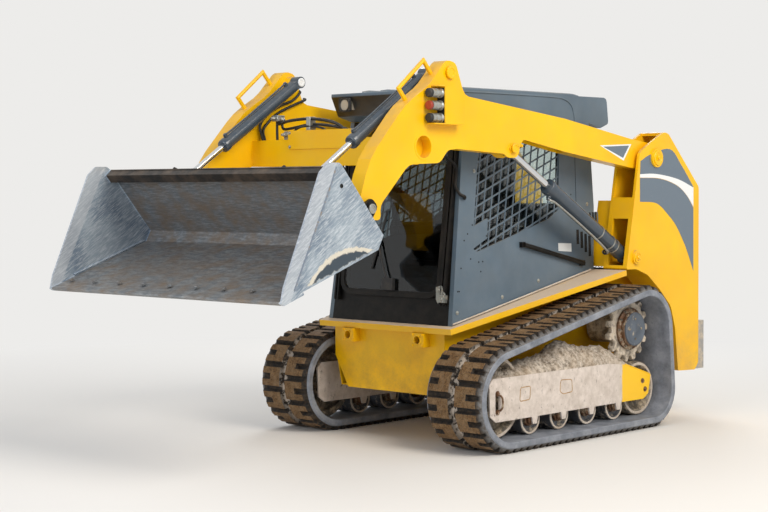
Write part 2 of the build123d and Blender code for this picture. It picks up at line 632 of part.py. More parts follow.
def bucket():
    """The bucket: a bent shell with its side plates."""
    heel = (-1536.0, 1159.0)
    edge = (BUCKET_EDGE_Y, 925.0)
    # y, z, corner radius: down the back, round the heel and out to the cutting edge
    outside = [BACK_TOP + (0,), BACK_LOW + (0,), heel + (0,), edge + (0,)]
    inside = [(edge[0] + 3, edge[1] + BUCKET_WALL, 0), (heel[0] - 4, heel[1] + 9, 0),
              (BACK_LOW[0] - 10, BACK_LOW[1] - 3, 0), (BACK_TOP[0] - 6, BACK_TOP[1] - 5, 0)]
    shell = slab(outside + inside, -BUCKET_HALF, BUCKET_HALF)
    # y, z, corner radius of a side plate
    rows = [(-1784, 1574, 0), (-1498, 1231, 0), (-1536, 1159, 0), (-2063, 971.4, 0), (BUCKET_EDGE_Y, 925, 0),
            (-2175, 1000, 0), (-1934, 1545, 20), (-1880, 1590, 20), (-1806, 1590, 10)]
    side = slab(rows, BUCKET_HALF - 12, BUCKET_HALF)
    inner = BUCKET_HALF - 11
    rail = tilted(RAIL_U, RAIL_U + 52, -48, -1, -inner, inner)
    dy, dz, _ = direction(heel, edge)
    lip = [edge + (0,), (edge[0] - dy * LIP_LONG, edge[1] - dz * LIP_LONG, 0),
           (edge[0] - dy * LIP_LONG - dz * LIP_THICK, edge[1] - dz * LIP_LONG + dy * LIP_THICK, 0),
           (edge[0] - dy * 14 - dz * LIP_THICK, edge[1] - dz * 14 + dy * LIP_THICK, 0)]
    return add(shell, both(side), rail, slab(lip, -BUCKET_HALF, BUCKET_HALF))


def lean(shape):
    """Lean a left cab piece in about the foot of its side."""
    foot = Location((CAB_HALF, 0, CAB_FOOT_Z))
    return shape.moved(foot * Location((0, 0, 0), (0, -CAB_LEAN, 0)) * foot.inverse())


def cab_inside_x(z):
    """Half width between the cab's side panels at a height."""
    return CAB_HALF - CAB_WALL - (z - CAB_FOOT_Z) * tan(radians(CAB_LEAN)) - FIT - 0.1


def cab_front_y(z):
    """The cab's front at a height."""
    return CAB_FRONT_Y + (z - CAB_FOOT_Z) * CAB_FRONT_SLOPE


CAB_REAR_Y = 850.0
# y, z, corner radius of the side window
WINDOW = [(-250, 1098, 25), (-292, 1120, 25), (-205, ROOF_LOW_Z - 101, 30), (540, ROOF_LOW_Z - 101, 30),
          (512, 1325, 20), (420, 1275, 20)]


def cab_side():
    """The cab's side panel with its window."""
    lift = 1.35
    rows = [(CAB_FRONT_Y, deck_z(CAB_FRONT_Y) + lift, 0), (cab_front_y(ROOF_LOW_Z), ROOF_LOW_Z - FIT, 0),
            (CAB_REAR_Y - 8, ROOF_LOW_Z - FIT, 0), (CAB_REAR_Y + 20, 1340, 10),
            (CAB_REAR_Y, deck_z(CAB_REAR_Y) + lift, 0)]
    panel = slab(rows, CAB_HALF - CAB_WALL, CAB_HALF)
    return lean(panel - slab(WINDOW, CAB_HALF - CAB_WALL - 5, CAB_HALF + 5))


def cab_windows():
    """The side panes behind the guards, and the rear pane."""
    side = lean(slab(inset(WINDOW, FIT, 1), CAB_HALF - CAB_WALL, CAB_HALF - CAB_WALL + GLASS))
    half, foot, head = REAR_PANE
    y = CAB_REAR_Y - 30
    rear = block(FIT - half, half - FIT, y, y + GLASS, foot + FIT, head - FIT)
    return add(both(side), rear)


def cab_roof():
    """The roof with its front visor and rear overhang."""
    # y, z, corner radius
    low = ROOF_LOW_Z
    rows = [(-518, ROOF_TOP_Z, 12), (-455, low + 29, 10), (-340, low, 10), (CAB_REAR_Y, low, 10),
            (CAB_REAR_Y + 125, low - 31, 10), (CAB_REAR_Y + 210, low - 1, 20), (CAB_REAR_Y + 190, ROOF_TOP_Z, 30)]
    solid = slab(rows, -ROOF_HALF, ROOF_HALF)
    half = ROOF_HALF - CAB_WALL
    solid = solid - block(-half, half, -330, CAB_REAR_Y - 40, ROOF_LOW_Z - 10, ROOF_TOP_Z - 40)
    for x in (-LAMP_X, LAMP_X):
        solid = solid - block(x - LAMP_HALF - FIT, x + LAMP_HALF + FIT, -540, -450, LAMP_LOW_Z - FIT, LAMP_TOP_Z + FIT)
    return solid


def front_plate(rows, near, far):
    """A plate in the cab's leaning front, from rows of (x, z, corner radius).

    near and far are the depths of its faces behind the cab's front.
    """
    tilt = atan2(CAB_FRONT_SLOPE, 1)
    plane = Plane(origin=(0, CAB_FRONT_Y, CAB_FOOT_Z), x_dir=(1, 0, 0), z_dir=(0, -cos(tilt), sin(tilt)))
    flat = [(x, (z - CAB_FOOT_Z) / cos(tilt), r) for x, z, r in rows]
    return extrude(plane.offset(-far) * rounded(flat), far - near)


DOOR_LAP = 30                  # how far the door's frame laps its opening
DOOR_FRAME = 28                # width of the door's frame
DOOR_DEEP = 24
DOOR_FOOT_Z = 865              # foot of the opening
# x, z, corner radius of the opening and of the door's outside
DOOR_OPENING = [(-368, DOOR_FOOT_Z, 60), (368, DOOR_FOOT_Z, 60), (368, HEAD_Z, 40), (-368, HEAD_Z, 40)]
DOOR_OUTLINE = [(-398, DOOR_FOOT_Z - DOOR_LAP, 90), (398, DOOR_FOOT_Z - DOOR_LAP, 90),
                (398, HEAD_Z + DOOR_LAP, 60), (-398, HEAD_Z + DOOR_LAP, 60)]


def cab_front():
    """The cab's front frame round the door."""
    foot = deck_z(CAB_FRONT_Y) - 6
    head = ROOF_LOW_Z - 4
    outline = [(-cab_inside_x(foot), foot, 0), (cab_inside_x(foot), foot, 0),
               (cab_inside_x(head), head, 0), (-cab_inside_x(head), head, 0)]
    plate = front_plate(outline, 0, 30) - front_plate(DOOR_OPENING, -5, 40)
    below = [(y, deck_z(y) + FIT, 0) for y in (-600, -300)] + [(-300, 500, 0), (-600, 500, 0)]
    return plate - slab(below, -CAB_HALF, CAB_HALF)


def cab_door():
    """The door's frame, closed against the cab's front."""
    hole = front_plate(inset(DOOR_OUTLINE, DOOR_FRAME, 1), -DOOR_DEEP - 6, 5)
    return front_plate(DOOR_OUTLINE, -DOOR_DEEP, -FIT) - hole


def door_glass():
    """The pane in the door."""
    return front_plate(inset(DOOR_OUTLINE, DOOR_FRAME + FIT, 1), -15, -15 + GLASS)


def cab_rear():
    """The cab's rear wall with its window."""
    foot = deck_z(CAB_REAR_Y - 8) + 1.5
    head = ROOF_LOW_Z - FIT
    outline = [(-cab_inside_x(foot), foot), (cab_inside_x(foot), foot),
               (cab_inside_x(head), head), (-cab_inside_x(head), head)]
    plane = Plane.XZ.offset(-(CAB_REAR_Y - 10))
    wall = extrude(plane * make_face(Polyline(*outline, close=True)), CAB_WALL)
    half, foot, head = REAR_PANE
    return wall - block(-half, half, CAB_REAR_Y - 60, CAB_REAR_Y + 40, foot, head)


def cab_floor():
    """The cab's floor pan between the body's walls."""
    half = BODY_HALF - BODY_WALL - FIT
    return block(-half, half, BODY_FRONT_Y + BODY_WALL + FIT, 740, 640, 652)


def seat():
    """The operator's seat, cushion and back."""
    cushion = block(-240, 240, -60, 400, 1010, 1120)
    back = block(-230, 230, 290, 400, 1120 + FIT, 1680)
    return add(cushion, back)


def seat_base():
    """The box below the seat."""
    return block(-300, 300, -20, 560, 652 + FIT, 1010 - FIT)


def controls():
    """A control lever on each side of the seat."""
    arm_box = block(260, 330, -120, 380, 1180, 1230)
    post = block(275, 315, 300, 340, 1010, 1180)
    grip = Pos(295, -102, 1290) * Rot(6, 0, 0) * extrude(RegularPolygon(18, 8), 70, both=True)
    return both(add(arm_box, post, grip))


def support_bar():
    """The stowed lift arm support on the cab's left side."""
    low, high = (147, 1128), (722, 1000)
    rod = bar((CAB_HALF + 22, *low), (CAB_HALF + 22, *high), 14)
    feet = [block(CAB_HALF + FIT, CAB_HALF + 22, y - 16, y + 16, z - 16, z + 16) for y, z in (low, high)]
    return lean(add(rod, *feet))


def couplers():
    """Three hydraulic couplers that point forward out of their housing."""
    y = COUPLER_FACE_Y - FIT - COUPLER_LONG / 2
    return add(*[Pos(COUPLER_X, y, z) * Rot(90, 0, 0) * Cylinder(COUPLER_R, COUPLER_LONG) for z in COUPLER_Z])


def lamps():
    """Work lamps under the visor and tail lamps on the towers."""
    front = block(LAMP_X - LAMP_HALF, LAMP_X + LAMP_HALF, -515, -450 - FIT, LAMP_LOW_Z, LAMP_TOP_Z)
    rear_y = TOWER_REAR_Y + FIT
    rear = block(LIFT_X - 35, LIFT_X + 35, rear_y, rear_y + 14, 1020, 1150)
    return add(both(front), both(rear))


def nodes():
    """Every node's name and shape."""
    lift_barrels, lift_rods = cylinder_pair(LIFT_X, LIFT_BASE, LIFT_LUG, LIFT_BARREL_R, LIFT_ROD_R,
                                            LIFT_BARREL_LONG, 100, 422, 40, prism)
    tilt_barrels, tilt_rods = cylinder_pair(TILT_X, EAR_PIN, TILT_PIN, TILT_BARREL_R, TILT_ROD_R,
                                            TILT_BARREL_LONG, 80, 430, 34, pin)
    made = {
        "chassis": chassis(),
        "body_sides": both(side_wall()),
        "cross_tubes": both(cross_tubes()),
        "deck": deck(),
        "rear_frame": rear_frame(),
        "engine_block": engine(),
        "engine_cover": engine_cover(),
        "rear_bumper": bumper(),
        "rear_door": rear_door(),
        "cab_windows": cab_windows(),
        "cab_roof": cab_roof(),
        "cab_front_frame": cab_front(),
        "cab_door": cab_door(),
        "cab_door_glass": door_glass(),
        "cab_rear_wall": cab_rear(),
        "cab_floor": cab_floor(),
        "seat": seat(),
        "seat_base": seat_base(),
        "controls": controls(),
        "support_bar": support_bar(),
        "work_lamps": lamps(),
        "lift_arms": lift_arms(),
        "hydraulic_couplers": couplers(),
        "hitch": hitch(),
        "bucket": bucket(),
        "lift_barrels": lift_barrels,
        "lift_rods": lift_rods,
        "tilt_barrels": tilt_barrels,
        "tilt_rods": tilt_rods,
        "idlers": both(idlers()),
        "rollers": both(rollers()),
        "drives": both(drive()),
        "track_frames": both(track_frame()),
        "towers": both(tower()),
        "cab_sides": both(cab_side()),
    }
    belt = track()
    made["track_left"] = belt
    made["track_right"] = mirrored(belt)
    return made


def main():
    os.makedirs("parts", exist_ok=True)
    for name, shape in nodes().items():
        export_step(shape.moved(Location((0, SHIFT_Y, 0))), f"parts/{name}.step")


main()
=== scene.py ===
import bmesh
import bpy
import numpy as np
from mathutils import Matrix, Vector


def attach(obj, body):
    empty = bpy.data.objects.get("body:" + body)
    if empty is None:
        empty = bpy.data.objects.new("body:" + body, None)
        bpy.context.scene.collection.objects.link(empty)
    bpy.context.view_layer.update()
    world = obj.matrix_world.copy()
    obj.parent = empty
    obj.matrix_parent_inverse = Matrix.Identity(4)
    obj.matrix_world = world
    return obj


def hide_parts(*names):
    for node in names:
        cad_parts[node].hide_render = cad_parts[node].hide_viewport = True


bl_info = {
    "name": "Compact track loader",
    "version": (1, 0, 0),
    "blender": (4, 5, 0),
    "location": "View3D > Sidebar > Loader",
    "description": "Dresses the packed compact track loader with its finishes and small parts",
    "category": "Object",
}

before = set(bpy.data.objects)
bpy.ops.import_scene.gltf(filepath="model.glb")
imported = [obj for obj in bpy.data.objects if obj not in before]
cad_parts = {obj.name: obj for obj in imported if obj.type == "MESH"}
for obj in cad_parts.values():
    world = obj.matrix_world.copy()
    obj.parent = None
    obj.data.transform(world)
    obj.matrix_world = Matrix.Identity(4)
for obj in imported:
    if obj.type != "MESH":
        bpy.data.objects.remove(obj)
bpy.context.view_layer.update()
SHIFT = np.array([0.0, 224.0, 0.0])    # from the datum of the measured places to the part's origin, in mm
LEFT, AHEAD, BACK, UP = (1, 0, 0), (0, -1, 0), (0, 1, 0), (0, 0, 1)
SAME_PLACE = 1e-6                      # points closer than this are one, in metres
SHARP_EDGE, BEVELLED_EDGE = np.radians(38), np.radians(35)


# Shapes

def at(*points):
    """Measured places in millimetres, as rows of metres in the part's frame."""
    return (np.array(points, float).reshape(-1, 3) + SHIFT) / 1000


def joined(*pieces):
    """Several (points, faces) pairs as one."""
    points, faces, start = [], [], 0
    for p, f in pieces:
        points.append(p)
        faces += [tuple(np.array(face) + start) for face in f]
        start += len(p)
    return np.concatenate(points), faces


def grid_faces(rows, columns, round_rows=False, round_columns=False):
    """Quads of a grid of points, closed on itself either way when asked."""
    i, j = np.meshgrid(np.arange(rows if round_rows else rows - 1),
                       np.arange(columns if round_columns else columns - 1), indexing="ij")
    i2, j2 = (i + 1) % rows, (j + 1) % columns
    quads = np.stack([i * columns + j, i2 * columns + j, i2 * columns + j2, i * columns + j2], -1)
    return [tuple(q) for q in quads.reshape(-1, 4)]


def carried(path, profile, closed=False, capped=True):
    """A closed profile of (side, up) carried along a path.

    Each ring stands square to the mean of its two runs; side is square to the axis that the path
    turns towards least.
    """
    path = np.asarray(path, float)
    profile = np.asarray(profile, float)
    if closed:
        run = np.roll(path, -1, 0) - np.roll(path, 1, 0)
    else:
        run = np.gradient(path, axis=0)
    run = run / np.linalg.norm(run, axis=1, keepdims=True)
    axes = np.array([[1.0, 0, 0], [0, 1.0, 0], [0, 0, 1.0], [0.6, 0.6, 0.53], [-0.6, 0.6, 0.53]])
    hint = axes[np.abs(run @ axes.T).max(0).argmin()]
    side = np.cross(run, hint)
    side = side / np.linalg.norm(side, axis=1, keepdims=True)
    up = np.cross(side, run)
    points = path[:, None] + side[:, None] * profile[None, :, :1] + up[:, None] * profile[None, :, 1:]
    n, m = points.shape[:2]
    faces = grid_faces(n, m, closed, True)
    if capped and not closed:
        faces += [tuple(range(m)), tuple((n - 1) * m + np.arange(m)[::-1])]
    return points.reshape(-1, 3), faces


def ring(radius, sides=16):
    """A round profile."""
    angle = np.arange(sides) * 2 * np.pi / sides
    return np.stack([np.cos(angle), np.sin(angle)], -1) * radius


def smooth_path(points, steps=6):
    """A Catmull-Rom curve through the points."""
    p = np.asarray(points, float)
    p = np.vstack([2 * p[0] - p[1], p, 2 * p[-1] - p[-2]])
    t = (np.arange(steps) / steps)[None, :, None]
    a, b, c, d = (p[k:len(p) - 3 + k][:, None] for k in range(4))
    square, cube = 2 * a - 5 * b + 4 * c - d, 3 * b - a - 3 * c + d
    curve = 0.5 * (2 * b + (c - a) * t + square * t ** 2 + cube * t ** 3)
    return np.vstack([curve.reshape(-1, p.shape[1]), p[-2:-1]])


def turned(rows, centre, axis, sides=32, closed=False):
    """A shape turned about an axis, from rows of (along, radius) in millimetres.

    A closed profile comes back to its first row, as a ring's does; otherwise the ends are capped.
    """
    rows = np.asarray(rows, float) / 1000
    z = np.asarray(axis, float) / np.linalg.norm(axis)
    x = np.cross(z, [0.0, 0.0, 1.0] if abs(z[2]) < 0.9 else [0.0, 1.0, 0.0])
    x = x / np.linalg.norm(x)
    y = np.cross(z, x)
    angle = np.arange(sides) * 2 * np.pi / sides
    spoke = np.cos(angle)[:, None] * x + np.sin(angle)[:, None] * y
    points = np.asarray(centre).reshape(3) + rows[:, None, :1] * z + rows[:, None, 1:] * spoke[None]
    n = len(rows)
    faces = grid_faces(n, sides, closed, True)
    if not closed:
        faces += [tuple(range(sides)), tuple((n - 1) * sides + np.arange(sides)[::-1])]
    return points.reshape(-1, 3), faces


def tube(points, radius, sides=12, steps=6):
    """A round bar in millimetres along a smooth line through places."""
    return carried(smooth_path(at(*points), steps), ring(radius / 1000, sides))


def between(first, second):
    """The closed piece between two outlines with the same number of points."""
    m = len(first)
    i = np.arange(m)
    faces = [tuple(i), tuple(m + i[::-1])]
    faces += [tuple(q) for q in np.stack([i, m + i, m + (i + 1) % m, (i + 1) % m], -1)]
    return np.vstack([first, second]), faces


def brick(x0, x1, y0, y1, z0, z1):
    """A box from its sides in millimetres."""
    return between(at((x0, y0, z0), (x1, y0, z0), (x1, y1, z0), (x0, y1, z0)),
                   at((x0, y0, z1), (x1, y0, z1), (x1, y1, z1), (x0, y1, z1)))


def sheet_x(outline, x0, x1):
    """A plate across X from its outline of (y, z) in millimetres."""
    outline = np.asarray(outline, float)
    first, second = (at(np.column_stack([np.full(len(outline), x), outline])) for x in (x0, x1))
    return between(first, second)


def softened(outline, radius, steps=5):
    """An outline with its corners drawn as short curves."""
    p = np.asarray(outline, float)
    before, after = np.roll(p, 1, 0) - p, np.roll(p, -1, 0) - p
    before, after = (v / np.linalg.norm(v, axis=1, keepdims=True) * radius for v in (before, after))
    t = np.linspace(0, 1, steps)[None, :, None]
    first, last = (p + before)[:, None], (p + after)[:, None]
    curve = (1 - t) ** 2 * first + 2 * t * (1 - t) * p[:, None] + t ** 2 * last
    return curve.reshape(-1, p.shape[1])


def oblong(x0, x1, z0, z1):
    """The outline of a rectangle from its sides."""
    return [(x0, z0), (x1, z0), (x1, z1), (x0, z1)]


def strip(path, wide, tall, radius, steps=3, closed=False):
    """A bar of soft rectangular section, in millimetres, carried along a path."""
    corners = np.array([(-1, -1), (1, -1), (1, 1), (-1, 1)]) * [wide / 2, tall / 2]
    return carried(path, softened(corners, radius, steps) / 1000, closed)


def solid_of(top, bottom):
    """The closed piece between two grids of points, one above the other."""
    n, m = top.shape[:2]
    faces = grid_faces(n, m)
    faces += [tuple(n * m + np.array(face[::-1])) for face in grid_faces(n, m)]
    k = np.arange(n * m).reshape(n, m)
    rim = np.concatenate([k[0, :], k[1:, -1], k[-1, -2::-1], k[-2:0:-1, 0]])
    turn = np.roll(rim, -1)
    faces += [tuple(q) for q in np.stack([rim, rim + n * m, turn + n * m, turn], -1)]
    return np.concatenate([top.reshape(-1, 3), bottom.reshape(-1, 3)]), faces


def bolts(places, axis, across, tall, washer=0.0):
    """Hexagon heads at places, in millimetres, each on a washer when one is given."""
    wide, corner, top = across * 0.8, across * 0.55, across * 0.46
    disc = [(0, 0), (0, wide), (washer, wide), (washer, 0)]
    head = [(washer, corner), (washer + tall * 0.8, corner), (washer + tall, top)]
    made = []
    for place in places:
        if washer:
            made.append(turned(disc, place, axis, 16))
        made.append(turned(head, place, axis, 6))
    return joined(*made)


def other_side(shape):
    """The same shape on the operator's right, its faces turned back outwards."""
    points, faces = shape
    return points * [-1, 1, 1], [tuple(face[::-1]) for face in faces]


def two_sided(shape):
    """The shape on both sides of the machine."""
    return joined(shape, other_side(shape))


def make(name, shape, body, finish, bevel=0.0, smooth=True):
    """A piece from its shape, riding on a body, with a finish by its name in FINISH."""
    points, faces = shape
    mesh = bpy.data.meshes.new(name)
    mesh.from_pydata(points.tolist(), [], [tuple(int(k) for k in face) for face in faces])
    mesh.validate()
    mesh.update()
    piece = bpy.data.objects.new(name, mesh)
    bpy.context.scene.collection.objects.link(piece)
    work = bmesh.new()
    work.from_mesh(mesh)
    bmesh.ops.remove_doubles(work, verts=work.verts, dist=SAME_PLACE)
    bmesh.ops.recalc_face_normals(work, faces=work.faces)
    work.to_mesh(mesh)
    work.free()
    if smooth:
        mesh.shade_smooth()
        mesh.set_sharp_from_angle(angle=SHARP_EDGE)
    else:
        mesh.shade_flat()
    if bevel:
        soft = piece.modifiers.new("Rounded edges", "BEVEL")
        soft.width, soft.segments, soft.limit_method = bevel, 2, "ANGLE"
        soft.angle_limit = BEVELLED_EDGE
        soft.harden_normals = False
    mesh.materials.append(FINISH[finish])
    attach(piece, body)
    return piece


def more_finishes(piece, finishes, chosen):
    """Adds finishes to a piece; chosen gives each face its number, with 0 for the first one."""
    for finish in finishes:
        piece.data.materials.append(FINISH[finish])
    piece.data.polygons.foreach_set("material_index", np.asarray(chosen, np.int32).ravel())
    piece.data.update()


# Finishes

PRODUCT = {"operation": "MULTIPLY", "use_clamp": True}
SUM = {"operation": "ADD", "use_clamp": True}
DIFFERENCE = {"operation": "SUBTRACT", "use_clamp": True}
GREATER = {"operation": "MAXIMUM", "use_clamp": True}
UNSIGNED = {"operation": "ABSOLUTE"}
COLOURS = {"data_type": "RGBA", "output": 2}    # a mix whose inputs 6 and 7 are the two colours


def linear(colour):
    """A hex colour in sRGB, or one already linear, as linear red, green, blue and alpha."""
    if not isinstance(colour, str):
        return (*colour[:3], 1.0)
    c = np.array([int(colour[k:k + 2], 16) for k in (0, 2, 4)]) / 255
    c = np.where(c <= 0.04045, c / 12.92, ((c + 0.055) / 1.055) ** 2.4)
    return (*c.tolist(), 1.0)


def node(tree, kind, inputs=(), output=0, **settings):
    """Adds a node with its settings and gives one of its outputs.

    Its inputs come in order, or by name or number. Each is a number, a colour in hex or the socket
    that feeds it. A map range's are the value, from low, from high, to low and to high.
    """
    made = tree.nodes.new("ShaderNode" + kind)
    for key, value in settings.items():
        setattr(made, key, value)
    for key, value in inputs.items() if isinstance(inputs, dict) else enumerate(inputs):
        if isinstance(value, bpy.types.NodeSocket):
            tree.links.new(value, made.inputs[key])
        else:
            made.inputs[key].default_value = linear(value) if isinstance(value, str) else value
    return made.outputs[output]


def finish_of(name, colour, roughness, others=None):
    """A new material with its shader's sockets set, with its node tree and its object coordinates."""
    material = bpy.data.materials.new(name)
    material.use_nodes = True
    tree = material.node_tree
    shader = tree.nodes["Principled BSDF"]
    values = {"Base Color": linear(colour), "Roughness": roughness, **(others or {})}
    for key, value in values.items():
        shader.inputs[key].default_value = value
    return material, tree, node(tree, "TexCoord", (), "Object")


def surfaced(material, colour=None, rough=None, metal=None, height=None, depth_mm=0.0, strength=0.5):
    """Puts patterns on a material's shader: its colour, roughness, metal and, as a bump, its height."""
    tree = material.node_tree
    bump = None
    if height is not None:
        bump = node(tree, "Bump", {"Height": height, "Strength": strength, "Distance": depth_mm / 1000})
    patterns = {"Base Color": colour, "Roughness": rough, "Metallic": metal, "Normal": bump}
    for key, source in patterns.items():
        if source is not None:
            tree.links.new(source, tree.nodes["Principled BSDF"].inputs[key])
    return material


def grain_of(size_mm, detail=4.0, rough=0.6):
    """A noise's values for blotches about size_mm across."""
    return {"Scale": 1000.0 / size_mm, "Detail": detail, "Roughness": rough}


def blotches(tree, where, grain, low, high, start=0.0, end=1.0):
    """Blotches of a grain (size in mm, detail, roughness), spread from start to end between two levels."""
    fine = node(tree, "TexNoise", {"Vector": where, **grain_of(*grain)})
    return node(tree, "MapRange", [fine, low, high, start, end])


def dusted(tree, where, base, dust, flat_share, low_z, patch_mm=120.0, least=0.35):
    """A colour under dust and the dust's amount: most on faces that look up and low down, in patches."""
    up = node(tree, "SeparateXYZ", [node(tree, "NewGeometry", (), "Normal")], "Z")
    height = node(tree, "SeparateXYZ", [where], "Z")
    patches = blotches(tree, where, (patch_mm, 6.0, 0.65), 0.35, 0.72)
    speck = blotches(tree, where, (9.0, 3.0, 0.7), 0.5, 0.75)
    flat = node(tree, "MapRange", [up, 0.35, 0.95, 0.0, flat_share])
    low = node(tree, "MapRange", [height, low_z + 0.35, low_z - 0.25])
    spotted = node(tree, "Math", [patches, node(tree, "Math", [speck, 0.4], **PRODUCT)], **SUM)
    splashed = node(tree, "Math", [node(tree, "Math", [low, spotted], **PRODUCT), 0.8], **PRODUCT)
    thin = node(tree, "Math", [patches, 0.10], **PRODUCT)
    settled = node(tree, "Math", [flat, node(tree, "Math", [patches, least], **SUM)], **PRODUCT)
    amount = node(tree, "Math", [splashed, node(tree, "Math", [thin, settled], **GREATER)], **GREATER)
    return node(tree, "Mix", {0: amount, 6: base, 7: dust}, **COLOURS), amount


def yellow_enamel(name, colour, flat_share=0.75, low_z=0.35, dust="B39468", least=0.25):
    """Chassis enamel, sprayed gloss over plate: slight orange peel and thin dust."""
    material, tree, where = finish_of(name, colour, 0.32, {"Coat Weight": 0.12, "Coat Roughness": 0.12,
                                                           "Specular IOR Level": 0.3})
    tone = blotches(tree, where, (420.0, 2.0), 0.3, 0.7)
    base = node(tree, "Mix", {0: tone, 6: colour, 7: "F0B400"}, **COLOURS)
    painted, amount = dusted(tree, where, base, dust, flat_share, low_z, 120.0, least)
    rough = node(tree, "MapRange", [amount, 0.0, 1.0, 0.3, 0.9])
    peel = node(tree, "TexNoise", {"Vector": where, **grain_of(7.0, 2.0)})
    height = node(tree, "Math", [node(tree, "Math", [peel, 0.25], **PRODUCT), amount], **SUM)
    return surfaced(material, painted, rough, height=height, depth_mm=0.8, strength=0.35)


def slate_enamel(name, colour, front=None):
    """Cab enamel in slate grey, satin: dry dust and small spots, and faces that look ahead drawn in the front
    colour when one is given.
    """
    material, tree, where = finish_of(name, colour, 0.45, {"Coat Weight": 0.15, "Coat Roughness": 0.3})
    tone = blotches(tree, where, (300.0, 3.0), 0.3, 0.75)
    spots = blotches(tree, where, (16.0, 5.0, 0.75), 0.62, 0.7)
    base = node(tree, "Mix", {0: tone, 6: colour, 7: "5C6F7F"}, **COLOURS)
    spots = node(tree, "Math", [spots, 0.2], **PRODUCT)
    base = node(tree, "Mix", {0: spots, 6: base, 7: "8A8C8C"}, **COLOURS)
    if front:
        facing = node(tree, "SeparateXYZ", [node(tree, "NewGeometry", (), "Normal")], "Y")
        ahead = node(tree, "MapRange", [facing, -0.45, -0.6])
        base = node(tree, "Mix", {0: ahead, 6: base, 7: front}, **COLOURS)
    painted, amount = dusted(tree, where, base, "9A9486", 0.6, 0.45, 180.0)
    rough = node(tree, "MapRange", [amount, 0.0, 1.0, 0.42, 0.85])
    peel = node(tree, "TexNoise", {"Vector": where, **grain_of(6.0, 2.0)})
    return surfaced(material, painted, rough, height=peel, depth_mm=0.5, strength=0.15)


def black_enamel(name, colour="08090A", dust="6E6458", gloss=0.4, shine=0.2):
    """Black satin enamel on frames and cylinders, greyed by dust where it looks up."""
    material, tree, where = finish_of(name, colour, gloss, {"Specular IOR Level": shine})
    painted, amount = dusted(tree, where, colour, dust, 0.35, -0.2, 90.0, 0.0)
    rough = node(tree, "MapRange", [amount, 0.0, 1.0, gloss, 0.85])
    peel = node(tree, "TexNoise", {"Vector": where, **grain_of(5.0, 2.0)})
    return surfaced(material, painted, rough, height=peel, depth_mm=0.4, strength=0.15)


def along_axis(tree, where, axis, offset):
    """Distance in metres along an axis, plus an offset."""
    dot = node(tree, "VectorMath", [where, axis], "Value", operation="DOT_PRODUCT")
    return node(tree, "Math", [dot, offset], operation="ADD")


# the bucket in metres: its sides' two faces in x, then planes as their direction and offset
SIDE_INNER, SIDE_OUTER = 0.906, 0.925
FLANGE_PLANE = ((0.0, -0.9016, 0.4326), -2.1245)
FLOOR_PLANE = ((0.0, -0.336, 0.942), -1.5212)
EDGE_PLANE = ((0.0, 0.942, 0.336), 1.12)
RAIL_PLANE = ((0.0, -0.6404, 0.7680), -1.7615)


